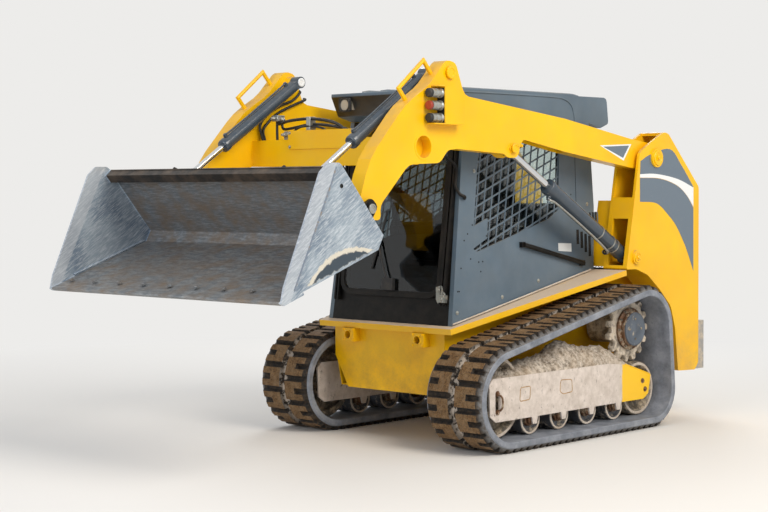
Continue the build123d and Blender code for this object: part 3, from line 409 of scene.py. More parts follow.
def scoured_plate(name):
    """Bucket plate: sides brushed bright by soil with a dark worn patch, inside filmed with soil.

    The rail along the top is dark and dusty; long fine scratches run with the soil's flow. The worn
    patch is under a hump: its top falls with the square of the distance from the hump's middle.
    """
    material, tree, where = finish_of(name, "A9B4BB", 0.4, {"Metallic": 0.35})
    flow = node(tree, "Mapping", {"Vector": where, "Scale": (1.0, 1.0, 0.1), "Rotation": (0.6, 0.0, 0.0)},
                vector_type="TEXTURE")
    fine = node(tree, "TexNoise", {"Vector": flow, **grain_of(60.0, 9.0, 0.75)})
    side = node(tree, "Math", [node(tree, "SeparateXYZ", [where], "X")], **UNSIGNED)

    wash = blotches(tree, where, (260.0, 3.0, 0.5), 0.4, 0.6)
    wash = node(tree, "Mix", {0: wash, 6: "6C7D8F", 7: "98A6B2"}, **COLOURS)
    brushed = node(tree, "MapRange", [fine, 0.46, 0.72])
    bright = node(tree, "Mix", {0: brushed, 6: wash, 7: "DDE3E8"}, **COLOURS)
    flange = node(tree, "MapRange", [along_axis(tree, where, *FLANGE_PLANE), 0.0, 0.003, 0.0, 0.35])
    bright = node(tree, "Mix", {0: flange, 6: bright, 7: "D9DCE0"}, **COLOURS)

    ragged = node(tree, "TexNoise", {"Vector": where, **grain_of(34.0, 6.0, 0.7)})
    reach = along_axis(tree, where, *EDGE_PLANE)
    fall = node(tree, "Math", [node(tree, "Math", [reach, reach], **PRODUCT), 1.4], **PRODUCT)
    hump = node(tree, "Math", [0.112, fall], **DIFFERENCE)
    ragged = node(tree, "Math", [ragged, 0.05], **PRODUCT)
    worn = node(tree, "Math", [along_axis(tree, where, *FLOOR_PLANE), ragged], **SUM)
    below = node(tree, "MapRange", [node(tree, "Math", [hump, worn], **DIFFERENCE), 0.0, 0.006])
    above = node(tree, "MapRange", [worn, 0.046, 0.052])
    outer = node(tree, "MapRange", [side, SIDE_OUTER - 0.0005, SIDE_OUTER + 0.0012])
    above = node(tree, "Math", [above, outer], **PRODUCT)
    patch = node(tree, "Math", [below, above], **PRODUCT)
    raised = node(tree, "Math", [hump, 0.022], **SUM)
    rim = node(tree, "MapRange", [node(tree, "Math", [raised, worn], **DIFFERENCE), 0.0, 0.004])
    rim = node(tree, "Math", [node(tree, "Math", [rim, above], **PRODUCT), 0.75], **PRODUCT)
    bright = node(tree, "Mix", {0: rim, 6: bright, 7: "E6DCC6"}, **COLOURS)
    bright = node(tree, "Mix", {0: patch, 6: bright, 7: "3E4A55"}, **COLOURS)

    soil = blotches(tree, where, (110.0, 7.0, 0.68), 0.4, 0.66)
    steel = node(tree, "MapRange", [fine, 0.45, 0.64])
    steel = node(tree, "Mix", {0: steel, 6: "6B7074", 7: "9A9EA0"}, **COLOURS)
    filmed = node(tree, "Math", [soil, 0.75], **PRODUCT)
    inner = node(tree, "Mix", {0: filmed, 6: steel, 7: "7E6A54"}, **COLOURS)
    rail = node(tree, "Mix", {0: soil, 6: "211D1A", 7: "5A4B3C"}, **COLOURS)
    on_rail = node(tree, "MapRange", [along_axis(tree, where, *RAIL_PLANE), 0.386, 0.389])
    inner = node(tree, "Mix", {0: on_rail, 6: inner, 7: rail}, **COLOURS)
    outside = node(tree, "MapRange", [side, SIDE_INNER - 0.0005, SIDE_INNER + 0.001])
    colour = node(tree, "Mix", {0: outside, 6: inner, 7: bright}, **COLOURS)
    rough = node(tree, "MapRange", [fine, 0.4, 0.65, 0.5, 0.3])
    return surfaced(material, colour, rough, height=fine, depth_mm=0.8, strength=0.3)


def cast_and_mud(name, colour="6B655C", mud="A8977E", share=0.5):
    """Cast steel running gear under dried mud, rough with clods."""
    material, tree, where = finish_of(name, colour, 0.6, {"Metallic": 0.3})
    cake = blotches(tree, where, (46.0, 8.0, 0.7), 0.62 - share * 0.3, 0.72 - share * 0.25)
    tone = blotches(tree, where, (14.0, 5.0), 0.3, 0.7)
    tone = node(tree, "Mix", {0: tone, 6: mud, 7: "C9BBA4"}, **COLOURS)
    tone = node(tree, "Mix", {0: cake, 6: colour, 7: tone}, **COLOURS)
    rough = node(tree, "MapRange", [cake, 0.0, 1.0, 0.45, 0.95])
    metal = node(tree, "MapRange", [cake, 0.0, 1.0, 0.4, 0.0])
    clods = node(tree, "TexNoise", {"Vector": where, **grain_of(12.0, 8.0, 0.75)})
    height = node(tree, "Math", [cake, clods], **PRODUCT)
    return surfaced(material, tone, rough, metal, height, 5.0, 0.8)


CRUMB = (9.0, 8.0, 0.75)     # the fine crumb on all of the belt's rubber


def belt_rubber(name):
    """Moulded track rubber worn smooth and grey, filmed with fine dust."""
    material, tree, where = finish_of(name, "6A6D73", 0.7)
    blotch = blotches(tree, where, (90.0, 6.0, 0.65), 0.35, 0.68)
    grey = node(tree, "Mix", {0: blotch, 6: "666C76", 7: "9297A0"}, **COLOURS)
    scuff = blotches(tree, where, (12.0, 6.0, 0.7), 0.55, 0.7, 0.0, 0.35)
    grey = node(tree, "Mix", {0: scuff, 6: grey, 7: "3A3C40"}, **COLOURS)
    rough = node(tree, "MapRange", [blotch, 0.0, 1.0, 0.5, 0.8])
    crumb = node(tree, "TexNoise", {"Vector": where, **grain_of(*CRUMB)})
    return surfaced(material, grey, rough, height=crumb, depth_mm=2.0, strength=0.35)


def groove_rubber(name):
    """Rubber between the lugs: black rubber darkened by painted shade, with pale lumps of dust along the
    belt's middle.
    """
    material, tree, where = finish_of(name, "1B1917", 0.8)
    side = node(tree, "Math", [node(tree, "SeparateXYZ", [where], "X")], **UNSIGNED)
    # The near black colours are black rubber with painted shade between the lugs, in blotches.
    shade_blotch = blotches(tree, where, (18.0, 6.0), 0.42, 0.68)
    base = node(tree, "Mix", {0: shade_blotch, 6: "131110", 7: "453727"}, **COLOURS)
    middle = node(tree, "Math", [side, TRACK_X / 1000], operation="PINGPONG")
    band = node(tree, "MapRange", [middle, 0.648, 0.66])
    lumps = blotches(tree, where, (42.0, 7.0, 0.7), 0.46, 0.53)
    dusty = node(tree, "Math", [band, lumps], **PRODUCT)
    base = node(tree, "Mix", {0: dusty, 6: base, 7: "BEB3A6"}, **COLOURS)
    edge = node(tree, "MapRange", [side, 0.85, 0.866])
    ends = node(tree, "Math", [edge, node(tree, "MapRange", [shade_blotch, 0.0, 1.0, 0.9, 0.2])], **PRODUCT)
    base = node(tree, "Mix", {0: ends, 6: base, 7: "7C7B7A"}, **COLOURS)
    crumb = node(tree, "TexNoise", {"Vector": where, **grain_of(*CRUMB)})
    return surfaced(material, base, height=crumb, depth_mm=3.0)


def lug_soil(name):
    """The lugs' treading faces: brown soil ground into rubber, paler where it has dried."""
    material, tree, where = finish_of(name, "6B4C28", 0.85)
    blotch = blotches(tree, where, (40.0, 7.0, 0.7), 0.42, 0.68)
    brown = blotches(tree, where, (9.0, 5.0, 0.7), 0.4, 0.62)
    brown = node(tree, "Mix", {0: brown, 6: "44301A", 7: "7E5E38"}, **COLOURS)
    dried = node(tree, "Math", [blotch, 0.5], **PRODUCT)
    brown = node(tree, "Mix", {0: dried, 6: brown, 7: "9C8464"}, **COLOURS)
    crumb = node(tree, "TexNoise", {"Vector": where, **grain_of(*CRUMB)})
    return surfaced(material, brown, height=crumb, depth_mm=3.0)


def caked_yellow(name, clean_y, colour):
    """Track frame enamel under a pale cake of dried mud, clean behind clean_y (metres)."""
    material, tree, where = finish_of(name, colour, 0.5)
    y = node(tree, "SeparateXYZ", [where], "Y")
    waver = node(tree, "TexNoise", {"Vector": where, **grain_of(60.0, 5.0)})
    edge = node(tree, "Math", [y, node(tree, "Math", [waver, 0.03], **PRODUCT)], **SUM)
    caked = node(tree, "MapRange", [edge, clean_y + 0.02, clean_y + 0.008])
    fade = node(tree, "MapRange", [y, clean_y - 0.12, clean_y])
    pale = blotches(tree, where, (45.0, 6.0), 0.3, 0.7)
    pale = node(tree, "Mix", {0: pale, 6: "BFB4AA", 7: "DDD3CB"}, **COLOURS)
    fade = node(tree, "Math", [fade, 0.45], **PRODUCT)
    pale = node(tree, "Mix", {0: fade, 6: pale, 7: "C9BFB6"}, **COLOURS)
    long = node(tree, "Mapping", {"Vector": where, "Scale": (1.0, 1.0, 0.45)})
    speck = blotches(tree, long, (22.0, 6.0, 0.8), 0.395, 0.36)
    speck = node(tree, "Math", [speck, 0.75], **PRODUCT)
    pale = node(tree, "Mix", {0: speck, 6: pale, 7: "4A4138"}, **COLOURS)
    painted = node(tree, "Mix", {0: caked, 6: colour, 7: pale}, **COLOURS)
    rough = node(tree, "MapRange", [caked, 0.0, 1.0, 0.35, 0.95])
    clods = node(tree, "TexNoise", {"Vector": where, **grain_of(20.0, 7.0, 0.7)})
    height = node(tree, "Math", [caked, clods], **PRODUCT)
    return surfaced(material, painted, rough, height=height, depth_mm=3.0, strength=0.6)


def hard_chrome(name):
    """Ground and chromed rod: bright, with the faintest turning marks."""
    material, tree, where = finish_of(name, "D8DBDD", 0.12, {"Metallic": 1.0})
    return surfaced(material, rough=blotches(tree, where, (40.0, 4.0), 0.3, 0.7, 0.09, 0.2))


def zinc_plate(name, colour="A9ABA6"):
    """Zinc plated fittings and bolts, dulled by dust."""
    material, tree, where = finish_of(name, colour, 0.35, {"Metallic": 0.8})
    soil = blotches(tree, where, (18.0, 5.0), 0.5, 0.7)
    dull = node(tree, "Mix", {0: soil, 6: colour, 7: "8E7F69"}, **COLOURS)
    rough = node(tree, "MapRange", [soil, 0.0, 1.0, 0.3, 0.85])
    return surfaced(material, dull, rough, node(tree, "MapRange", [soil, 0.0, 1.0, 0.8, 0.1]))


def window_pane(name, tint, haze):
    """Tempered glass, clear or tinted, with a breath of dust."""
    material, tree, where = finish_of(name, tint, 0.04, {"IOR": 1.5, "Transmission Weight": 1.0})
    breath = blotches(tree, where, (90.0, 6.0, 0.7), 0.45, 0.75)
    return surfaced(material, rough=node(tree, "MapRange", [breath, 0.0, 1.0, 0.02, haze]))


def moulded(name, colour="1D1E20", roughness=0.55, grain_mm=1.6):
    """Moulded plastic or vinyl with a fine leather grain, drawn a little coarse so that it shows."""
    material, tree, where = finish_of(name, colour, roughness)
    cells = node(tree, "TexVoronoi", {"Vector": where, "Scale": 1000.0 / grain_mm}, "Distance")
    dust = node(tree, "Math", [blotches(tree, where, (60.0, 5.0), 0.5, 0.75), 0.2], **PRODUCT)
    dull = node(tree, "Mix", {0: dust, 6: colour, 7: "7C7060"}, **COLOURS)
    return surfaced(material, dull, height=cells, depth_mm=0.3, strength=0.35)


def film(name, colour):
    """Thin printed film on enamel: plain, a little satin, with dust specks and a faint ripple."""
    material, tree, where = finish_of(name, colour, 0.35, {"Coat Weight": 0.3, "Coat Roughness": 0.15})
    speck = blotches(tree, where, (14.0, 6.0, 0.75), 0.6, 0.74, 0.0, 0.35)
    dull = node(tree, "Mix", {0: speck, 6: colour, 7: "B9AC98"}, **COLOURS)
    rough = node(tree, "MapRange", [speck, 0.0, 0.35, 0.33, 0.7])
    ripple = node(tree, "TexNoise", {"Vector": where, **grain_of(30.0, 2.0)})
    return surfaced(material, dull, rough, height=ripple, depth_mm=0.4, strength=0.2)


def dried_mud(name, low="857868", high="CFC3B4", clod_mm=16.0, depth_mm=7.0):
    """Dried mud: pale crust on clods, darker in the low places between them: painted shade in the cracks."""
    material, tree, where = finish_of(name, high, 0.95)
    clods = node(tree, "TexNoise", {"Vector": where, **grain_of(clod_mm, 9.0, 0.72)})
    cells = node(tree, "TexVoronoi", {"Vector": where, "Scale": 1000.0 / (clod_mm * 1.4)}, "Distance")
    crust = node(tree, "Math", [clods, 0.7], **PRODUCT)
    height = node(tree, "Math", [crust, node(tree, "Math", [cells, -0.3], **PRODUCT)], **SUM)
    # The low colour is painted shade in the hollows, where the clods' noise, and so their height, is low.
    tone = node(tree, "MapRange", [clods, 0.36, 0.6])
    tone = node(tree, "Mix", {0: tone, 6: low, 7: high}, **COLOURS)
    stain = blotches(tree, where, (120.0, 4.0), 0.4, 0.7, 0.0, 0.5)
    tone = node(tree, "Mix", {0: stain, 6: tone, 7: "A48C6E"}, **COLOURS)
    return surfaced(material, tone, height=height, depth_mm=depth_mm, strength=0.9)


def belt_webbing(name, colour="232427"):
    """Woven belt webbing, crossed yarns about 1.5 mm apart."""
    material, tree, where = finish_of(name, colour, 0.8)
    yarns = [node(tree, "TexWave", {"Vector": where, "Scale": 320.0}, "Fac", bands_direction=way)
             for way in ("X", "Y")]
    weave = node(tree, "Math", yarns, **PRODUCT)
    woven = node(tree, "Mix", {0: weave, 6: "17181A", 7: "34363A"}, **COLOURS)
    return surfaced(material, woven, height=weave, depth_mm=0.5, strength=0.6)


def plain_lamp(name, colour, roughness=0.15):
    """A clear or coloured lamp lens over a bright reflector."""
    material, tree, where = finish_of(name, colour, roughness, {"Metallic": 0.2, "Coat Weight": 1.0,
                                                                "Coat Roughness": 0.03})
    cells = node(tree, "TexVoronoi", {"Vector": where, "Scale": 90.0}, "Distance")
    return surfaced(material, height=cells, depth_mm=1.0, strength=0.4)


FINISH = {}


class LoaderColours(bpy.types.PropertyGroup):
    """Colours that a user would change."""

    yellow: bpy.props.FloatVectorProperty(
        name="Enamel", description="Main enamel", subtype="COLOR", size=3, min=0, max=1,
        default=linear("F6C200")[:3])
    slate: bpy.props.FloatVectorProperty(
        name="Cab", description="Cab enamel", subtype="COLOR", size=3, min=0, max=1,
        default=linear("4C5E6D")[:3])


class LoaderSizes(bpy.types.PropertyGroup):
    """Sizes that a user would change."""

    guard_pitch: bpy.props.FloatProperty(
        name="Guard pitch", description="Distance between the guard's strands, in mm",
        default=57.0, min=20.0, max=120.0)
    guard_strand: bpy.props.FloatProperty(
        name="Guard strand", description="Width of a strand of the guard, in mm",
        default=9.0, min=3.0, max=20.0)


def mix_finishes(colours):
    """All finishes by name."""
    yellow, slate = linear(colours.yellow), linear(colours.slate)
    FINISH.update({
        "yellow": yellow_enamel("yellow_enamel", yellow),
        # The body's dust colour is a dark orange-brown: dust and painted shade on the low body.
        "yellow_low": yellow_enamel("yellow_enamel_body", yellow, 0.95, 0.4, "A27A3C", 0.2),
        "bumper": cast_and_mud("bumper_steel", "A3A19D", "B3ADA3", 0.6),
        "roof": slate_enamel("roof_enamel", slate, "060708"),
        "deck": yellow_enamel("deck_enamel_dusty", yellow, 1.0, 0.1, "D2BFA8", 0.8),
        "slate": slate_enamel("slate_enamel", slate),
        "black": black_enamel("black_enamel"),
        "bucket": scoured_plate("scoured_plate"),
        "bright": zinc_plate("scuffed_edge", "8792A0"),
        "gear": cast_and_mud("cast_steel_muddy"),
        "gear_dark": cast_and_mud("roller_steel", "53555A", "9A9186", 0.35),
        "slate_worn": cast_and_mud("drive_cap_enamel", "626B76", "A39C93", 0.15),
        "sprocket": cast_and_mud("sprocket_steel_dusty", "8D8478", "D8CEC1", 0.75),
        "rusty": cast_and_mud("rusty_casting", "6E4F38", "A08C74", 0.4),
        "rubber": belt_rubber("belt_rubber"),
        "soil": lug_soil("lug_soil"),
        "groove": groove_rubber("groove_rubber"),
        "caked": caked_yellow("caked_frame_enamel", 0.945, yellow),
        # The low colours of the mud, dust and worn outlines are painted shade between their clods.
        "mud": dried_mud("frame_mud", "6A5F52", "D6CBBD", 26.0, 9.0),
        "dust": dried_mud("dry_dust", "B5AA9C", "D8CFC4", 9.0, 2.0),
        "patch": dried_mud("worn_outline", "8C6A44", "C2A47C", 24.0, 1.0),
        "chrome": hard_chrome("hard_chrome"),
        "zinc": zinc_plate("zinc_plate"),
        "glass": window_pane("window_pane", "DDE6E4", 0.16),
        "door_glass": window_pane("door_pane_tinted", "5C6870", 0.05),
        "vinyl": moulded("seat_vinyl", "1B1C1E", 0.6),
        "webbing": belt_webbing("belt_webbing"),
        "plastic": moulded("moulded_plastic"),
        "seal": moulded("rubber_seal", "131416", 0.75, 2.4),
        "hose": moulded("hose_cover", "17181A", 0.5, 2.0),
        "red": moulded("red_plastic", "96321F", 0.45),
        # Near black with the plastic finish: painted shade on the slots, holes and recess, and the panel
        # seams' dark joints.
        "dark": moulded("painted_shade_and_seams", "08090A", 0.9, 3.0),
        "white": film("white_film", "E9ECEC"),
        # The slate film's colour is its print lightened by a painted highlight of glare on the wedges.
        "decal": film("slate_film", "5F6E7C"),
        "lens": plain_lamp("lamp_lens", "C9C2B2"),
        "cylinder": black_enamel("cylinder_enamel", "34424F", "8A8072", 0.22, 0.6),
        "engine": cast_and_mud("engine_casting", "4A4B4C", "5B5750", 0.2),
    })


NODE_FINISH = {
    "chassis": "yellow_low", "body_sides": "yellow_low", "cross_tubes": "yellow_low", "deck": "deck",
    "rear_frame": "yellow", "engine_block": "engine",
    "engine_cover": "slate", "rear_bumper": "bumper", "rear_door": "slate", "cab_sides": "slate",
    "cab_windows": "glass", "cab_roof": "roof", "cab_front_frame": "black", "cab_door": "black",
    "cab_door_glass": "door_glass", "cab_rear_wall": "slate", "cab_floor": "black", "seat": "vinyl",
    "seat_base": "plastic", "controls": "plastic", "support_bar": "black", "work_lamps": "lens",
    "lift_arms": "yellow", "hydraulic_couplers": "zinc", "hitch": "black", "bucket": "bucket",
    "lift_barrels": "cylinder", "lift_rods": "chrome", "tilt_barrels": "cylinder", "tilt_rods": "chrome",
    "idlers": "gear", "rollers": "gear", "drives": "gear", "track_frames": "caked", "towers": "yellow",
    "track_left": "rubber", "track_right": "rubber",
}


class LOADER_OT_finishes(bpy.types.Operator):
    """Give every CAD node its finish."""

    bl_idname = "loader.finishes"
    bl_label = "Finishes"

    def execute(self, context):
        mix_finishes(context.scene.loader_colours)
        for name, key in NODE_FINISH.items():
            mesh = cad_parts[name].data
            mesh.materials.clear()
            mesh.materials.append(FINISH[key])
        return {"FINISHED"}


# Cab

LEAN = np.radians(2.0)
FOOT = (490.0, 690.0)          # x and z of the foot of the cab's side
FRONT = (-488.0, 690.0)        # y and z of the foot of its front
FRONT_LEAN = np.arctan(0.1313)
OFF_PANEL = (1, 0, 0.03)       # out from the cab's side
SIDE_WINDOW = [(-250, 1098), (-292, 1120), (-205, 1760), (540, 1760), (512, 1325), (420, 1275)]
DOOR_PANE = oblong(-370, 370, 863, 1804)


def on_side(y, z, out=0.0):
    """Places on the cab's left panel: out from its face, which leans in with height."""
    x = FOOT[0] + out * np.cos(LEAN) - (z - FOOT[1]) * np.sin(LEAN)
    up = FOOT[1] + (z - FOOT[1]) * np.cos(LEAN) + out * np.sin(LEAN)
    return (np.stack([x, y + 0 * x, up], -1) + SHIFT) / 1000


def on_front(x, z, out=0.0):
    """Places on the cab's front: out from its face, which leans back with height."""
    y = FRONT[0] + (z - FRONT[1]) * np.tan(FRONT_LEAN) - out * np.cos(FRONT_LEAN)
    return (np.stack([x + 0 * y, y, z + out * np.sin(FRONT_LEAN)], -1) + SHIFT) / 1000


def upright(y, way=1):
    """A placing function for the upright plane at y, out from it along y or against it."""
    def place(x, z, out=0.0):
        return (np.stack([x, y + way * out + 0 * x, z], -1) + SHIFT) / 1000
    return place


def spots(place, pairs, out=0.0):
    """Places on a placing function from pairs of its coordinates."""
    return place(*np.array(pairs, float).T, out)


def pane(place, outline, low, high):
    """A plate on a placing function, from its outline and the depths of its two faces."""
    outline = np.asarray(outline, float)
    return between(place(*outline.T, low), place(*outline.T, high))


def trim(place, outline, depth, wide, tall, radius=20.0):
    """A closed strip of soft section carried along an outline on a placing function."""
    return strip(place(*softened(outline, radius).T, depth), wide, tall, min(wide, tall) * 0.35, closed=True)


def strands(outline, run, pitch, width):
    """Parallel strips clipped to a convex outline, as four corners each.

    An edge of a strip is the line at one offset across the run; it enters and leaves the outline at
    the lowest and highest of its crossings with the outline's sides.
    """
    p = np.asarray(outline, float)
    q = np.roll(p, -1, 0)
    run = np.asarray(run, float) / np.linalg.norm(run)
    across = np.array([-run[1], run[0]])
    offset = np.arange((p @ across).min() + pitch / 2, (p @ across).max(), pitch)
    lines = offset[:, None] + np.array([-width / 2, width / 2])
    share = (lines[..., None] - p @ across) / ((q - p) @ across)
    along = p @ run + share * ((q - p) @ run)
    inside = (share >= 0) & (share <= 1)
    first = np.where(inside, along, np.inf).min(-1)
    last = np.where(inside, along, -np.inf).max(-1)
    keep = (last - first > width).all(1)
    ends = np.stack([first[:, 0], last[:, 0], last[:, 1], first[:, 1]], -1)[keep]
    return ends[..., None] * run + lines[keep][:, [0, 0, 1, 1], None] * across


def slats(corners, place, low, high):
    """Flat bars between two depths of a placing function, from four corners each."""
    y, z = corners[..., 0], corners[..., 1]
    points = np.concatenate([place(y, z, low), place(y, z, high)], 1).reshape(-1, 3)
    block = np.array([[0, 1, 2, 3], [7, 6, 5, 4], [0, 4, 5, 1], [1, 5, 6, 2], [2, 6, 7, 3], [3, 7, 4, 0]])
    faces = (np.arange(len(corners))[:, None, None] * 8 + block).reshape(-1, 4)
    return points, [tuple(face) for face in faces]


def upright_bars(y0, y1, z0, z1, count, share):
    """The corners of evenly spaced upright bars; z0 and z1 may change along the row."""
    pitch = (y1 - y0) / count
    y = y0 + pitch * (np.arange(count) + 0.5)
    low, high = (np.interp(y, [y0, y1], ends) for ends in (z0, z1))
    half = pitch * share / 2
    return np.stack([np.stack([y - half, low], -1), np.stack([y + half, low], -1),
                     np.stack([y + half, high], -1), np.stack([y - half, high], -1)], 1)


class LOADER_OT_guards(bpy.types.Operator):
    """Window guards of expanded sheet, their panes' seals and the panel's louvres."""

    bl_idname = "loader.guards"
    bl_label = "Window guards"

    def execute(self, context):
        sizes = context.scene.loader_sizes
        rising = strands(SIDE_WINDOW, (1.0, 0.385), sizes.guard_pitch, sizes.guard_strand)
        steep = strands(SIDE_WINDOW, (0.17, 1.0), sizes.guard_pitch * 1.14, sizes.guard_strand)
        mesh = joined(slats(rising, on_side, -8, -3.5), slats(steep, on_side, -10.5, -6))
        make("window_guards", two_sided(mesh), "machine", "slate", smooth=False)
        tongue = pane(on_side, [(-300, 1236), (-148, 1291), (-158, 1174), (-300, 1108)], -12, -0.5)
        make("window_tongues", two_sided(tongue), "machine", "slate", 0.0015)
        seals = joined(two_sided(trim(on_side, SIDE_WINDOW, -17, 10, 14)),
                       trim(on_front, DOOR_PANE, 12, 16, 9, 60))
        make("pane_seals", seals, "machine", "seal")
        rear = trim(upright(838), oblong(-330, 330, 1350, 1780), 2, 26, 10, 30)
        make("rear_pane_seal", rear, "machine", "seal")
        upper = upright_bars(780, 900, (1241, 1240), (1306, 1312), 4, 0.66)
        lower = upright_bars(678, 836, (1130, 1026), (1212, 1158), 4, 0.66)
        # The louvres' slots are dark slats under the hoods: painted shade in the openings.
        dark = joined(slats(upper, on_side, -1, 0.4), slats(lower, on_side, -1, 0.4))
        make("louvre_slots", two_sided(dark), "machine", "dark", smooth=False)
        hoods = np.concatenate([upper, lower]) + [17.0, 0.0]
        middles = hoods.mean(1, keepdims=True)
        hoods = slats(middles + (hoods - middles) * [0.4, 1.0], on_side, 0, 4.5)
        make("louvre_hoods", two_sided(hoods), "machine", "slate", 0.0015)
        return {"FINISHED"}


class LOADER_OT_cab_fittings(bpy.types.Operator):
    """Handles, latch, hinges, wiper, ribs, holes drawn as dark discs of painted shade, screws and the blank
    label on the cab.
    """

    bl_idname = "loader.cab_fittings"
    bl_label = "Cab fittings"

    def execute(self, context):
        grab = [(452, -500, 1640), (446, -420, 1600), (446, -395, 1560), (450, -410, 1480), (470, -396, 1430),
                (488, -374, 1414), (468, -350, 1404)]
        make("grab_handles", two_sided(tube(grab, 9)), "machine", "black")
        posts = [pane(on_front, oblong(x - 6, x + 6, 800, 1815), 0, 30) for x in (409, 431)]
        make("front_ribs", two_sided(joined(*posts)), "machine", "black", 0.003)
        latch = joined(pane(on_front, [(372, 900), (412, 912), (446, 856), (396, 808), (380, 830)], 20, 30),
                       pane(on_front, oblong(398, 440, 858, 815), 0, 38),
                       bolts(spots(on_front, [(396, 884), (426, 836)], 36), (0, -1, 0.13), 16, 6, 2))
        make("door_latch", latch, "machine", "zinc", 0.0012)
        hinges = [joined(turned([(-42, 13), (42, 13)], spots(on_front, [(x, 1836)], 22), LEFT, 20),
                         pane(on_front, oblong(x - 34, x + 34, 1790, 1842), 24, 30)) for x in (-250.0, 250.0)]
        make("door_hinges", joined(*hinges), "machine", "black", 0.0015)
        sweep = spots(on_front, [(0, 905), (-40, 985), (-92, 1112), (-104, 1150)], 34)
        blade = spots(on_front, [(-150, 990), (-104, 1150), (-60, 1330)], 22)
        wiper = joined(carried(sweep, ring(0.006, 8)), carried(blade, ring(0.008, 6)),
                       pane(on_front, [(-46, 868), (46, 868), (40, 938), (-40, 938)], 15, 44))
        make("wiper", wiper, "machine", "plastic", 0.002)
        holes = [(-331, 1203), (-362, 1166), (-288, 1253), (-154, 1292), (-166, 1188), (-310, 1060),
                 (-396, 1010), (-430, 880), (-418, 880), (-240, 1040), (-205, 1042), (-225, 985),
                 (640, 1700), (640, 1420)]
        # Each hole is a dark disc: painted shade in it.
        dots = [turned([(0, 5), (0.7, 5)], place, OFF_PANEL, 10) for place in spots(on_side, holes)]
        make("panel_holes", two_sided(joined(*dots)), "machine", "dark", smooth=False)
        screws = [(-258, 1560), (-236, 1720), (590, 1735), (590, 1420), (800, 1790), (800, 1360), (-440, 760),
                  (300, 910), (-40, 830)]
        heads = bolts(spots(on_side, screws), OFF_PANEL, 15, 4, 1.5)
        make("panel_screws", two_sided(heads), "machine", "zinc")
        label = pane(on_side, [(502, 1128), (631, 1123), (631, 1072), (502, 1081)], 0, 0.8)
        make("blank_label", label, "machine", "white", smooth=False)
        seam = pane(on_side, oblong(688, 692, 1345, 1835), -1, 0.4)
        make("panel_seams", two_sided(seam), "machine", "dark", smooth=False)
        return {"FINISHED"}


class LOADER_OT_roof(bpy.types.Operator):
    """Roof ribs and beads, visor lip, lamp bezels and the tail lamps' rims."""

    bl_idname = "loader.roof"
    bl_label = "Roof and lamps"

    def execute(self, context):
        make("roof_ribs", joined(*[self.rib(x) for x in (-300, -150, 0, 150, 300)]), "machine",
             "slate")
        bead = [(-470, 2006), (-200, 2009), (200, 2009), (520, 2006), (620, 1994), (678, 1962), (703, 1909),
                (712, 1866)]
        bead = at(*[(439.5, y, z) for y, z in bead])
        bead = carried(smooth_path(bead, 6), ring(0.005, 8))
        make("roof_beads", two_sided(bead), "machine", "slate")
        lip = strip(at((-436, -505, 2012), (436, -505, 2012)), 20, 14, 5, 4)
        make("visor_lip", lip, "machine", "slate")
        lamps = [(-366, -278), (278, 366)]
        bezels = [trim(upright(-510, -1), oblong(*sides, 1918, 1992), 2, 10, 14, 12) for sides in lamps]
        collar = [(0, 44), (3, 44), (5, 40), (3, 33), (0, 33)]
        bezels += [turned(collar, at((sum(sides) / 2, -517, 1955)), AHEAD, 32, True) for sides in lamps]
        make("lamp_bezels", joined(*bezels), "machine", "plastic")
        tail = [trim(upright(1661), oblong(x - 37, x + 37, 1016, 1154), 0, 8, 12, 10) for x in (-636, 636)]
        make("tail_lamp_rims", joined(*tail), "machine", "plastic")
        return {"FINISHED"}

    def rib(self, x):
        """A rib along the roof, a trapezium in section, which sinks into the sheet at both ends."""
        y = np.linspace(-380, 930, 24)
        rise = 9 * np.clip(np.minimum(y + 380, 930 - y) / 60, 0, 1)
        path = at(np.stack([x + 0 * y, y, 2015 + rise], -1))
        return carried(path, softened([(-26, -6), (26, -6), (16, 6), (-16, 6)], 5, 3) / 1000)


# Arms and towers

def band_x(upper, lower, x, thick, steps=6):
    """A thin plate across X between two smooth curves with the same number of (y, z) places."""
    curves = [smooth_path(np.asarray(row, float), steps) for row in (upper, lower)]
    grid = np.stack(curves, 1)
    top, bottom = (np.concatenate([np.full((*grid.shape[:2], 1), v), grid], 2) for v in (x + thick, x))
    return solid_of((top + SHIFT) / 1000, (bottom + SHIFT) / 1000)


class LOADER_OT_stripes(bpy.types.Operator):
    """Plain stripes and the wedge on the towers and arms."""

    bl_idname = "loader.stripes"
    bl_label = "Stripes"

    def execute(self, context):
        top = [(1000, 1622), (1110, 1665), (1319, 1699), (1450, 1596), (1583, 1463)]
        white_up = [(995, 1542), (1137, 1545), (1283, 1532), (1431, 1506), (1583, 1458)]
        white_low = [(995, 1521), (1210, 1516), (1394, 1474), (1507, 1410), (1584, 1335)]
        edge = [(995, 1519), (1210, 1514), (1394, 1472), (1507, 1408), (1584, 1330)]
        low = [(995, 1373), (1174, 1361), (1302, 1287), (1395, 1212), (1490, 1093)]
        rear, tail = [(1584, 1330), (1585, 1180), (1586, 925)], [(1490, 1093), (1525, 1035), (1585, 926)]
        slate = joined(*[band_x(*rows, 724.1, 0.7) for rows in ((top, white_up), (edge, low), (rear, tail))])
        make("tower_wedges", two_sided(slate), "machine", "decal", smooth=False)
        white = band_x(white_up, white_low, 724.2, 0.9)
        make("tower_stripes", two_sided(white), "machine", "white", smooth=False)
        outer = sheet_x([(640, 1714), (962, 1726), (882, 1624)], 682.1, 682.7)
        inner = sheet_x([(672, 1707), (938, 1717), (876, 1641)], 682.6, 683.2)
        make("arm_wedge_edges", two_sided(outer), "lift", "white", smooth=False)
        make("arm_wedges", two_sided(inner), "lift", "decal", smooth=False)
        return {"FINISHED"}


# Arms and their hydraulics

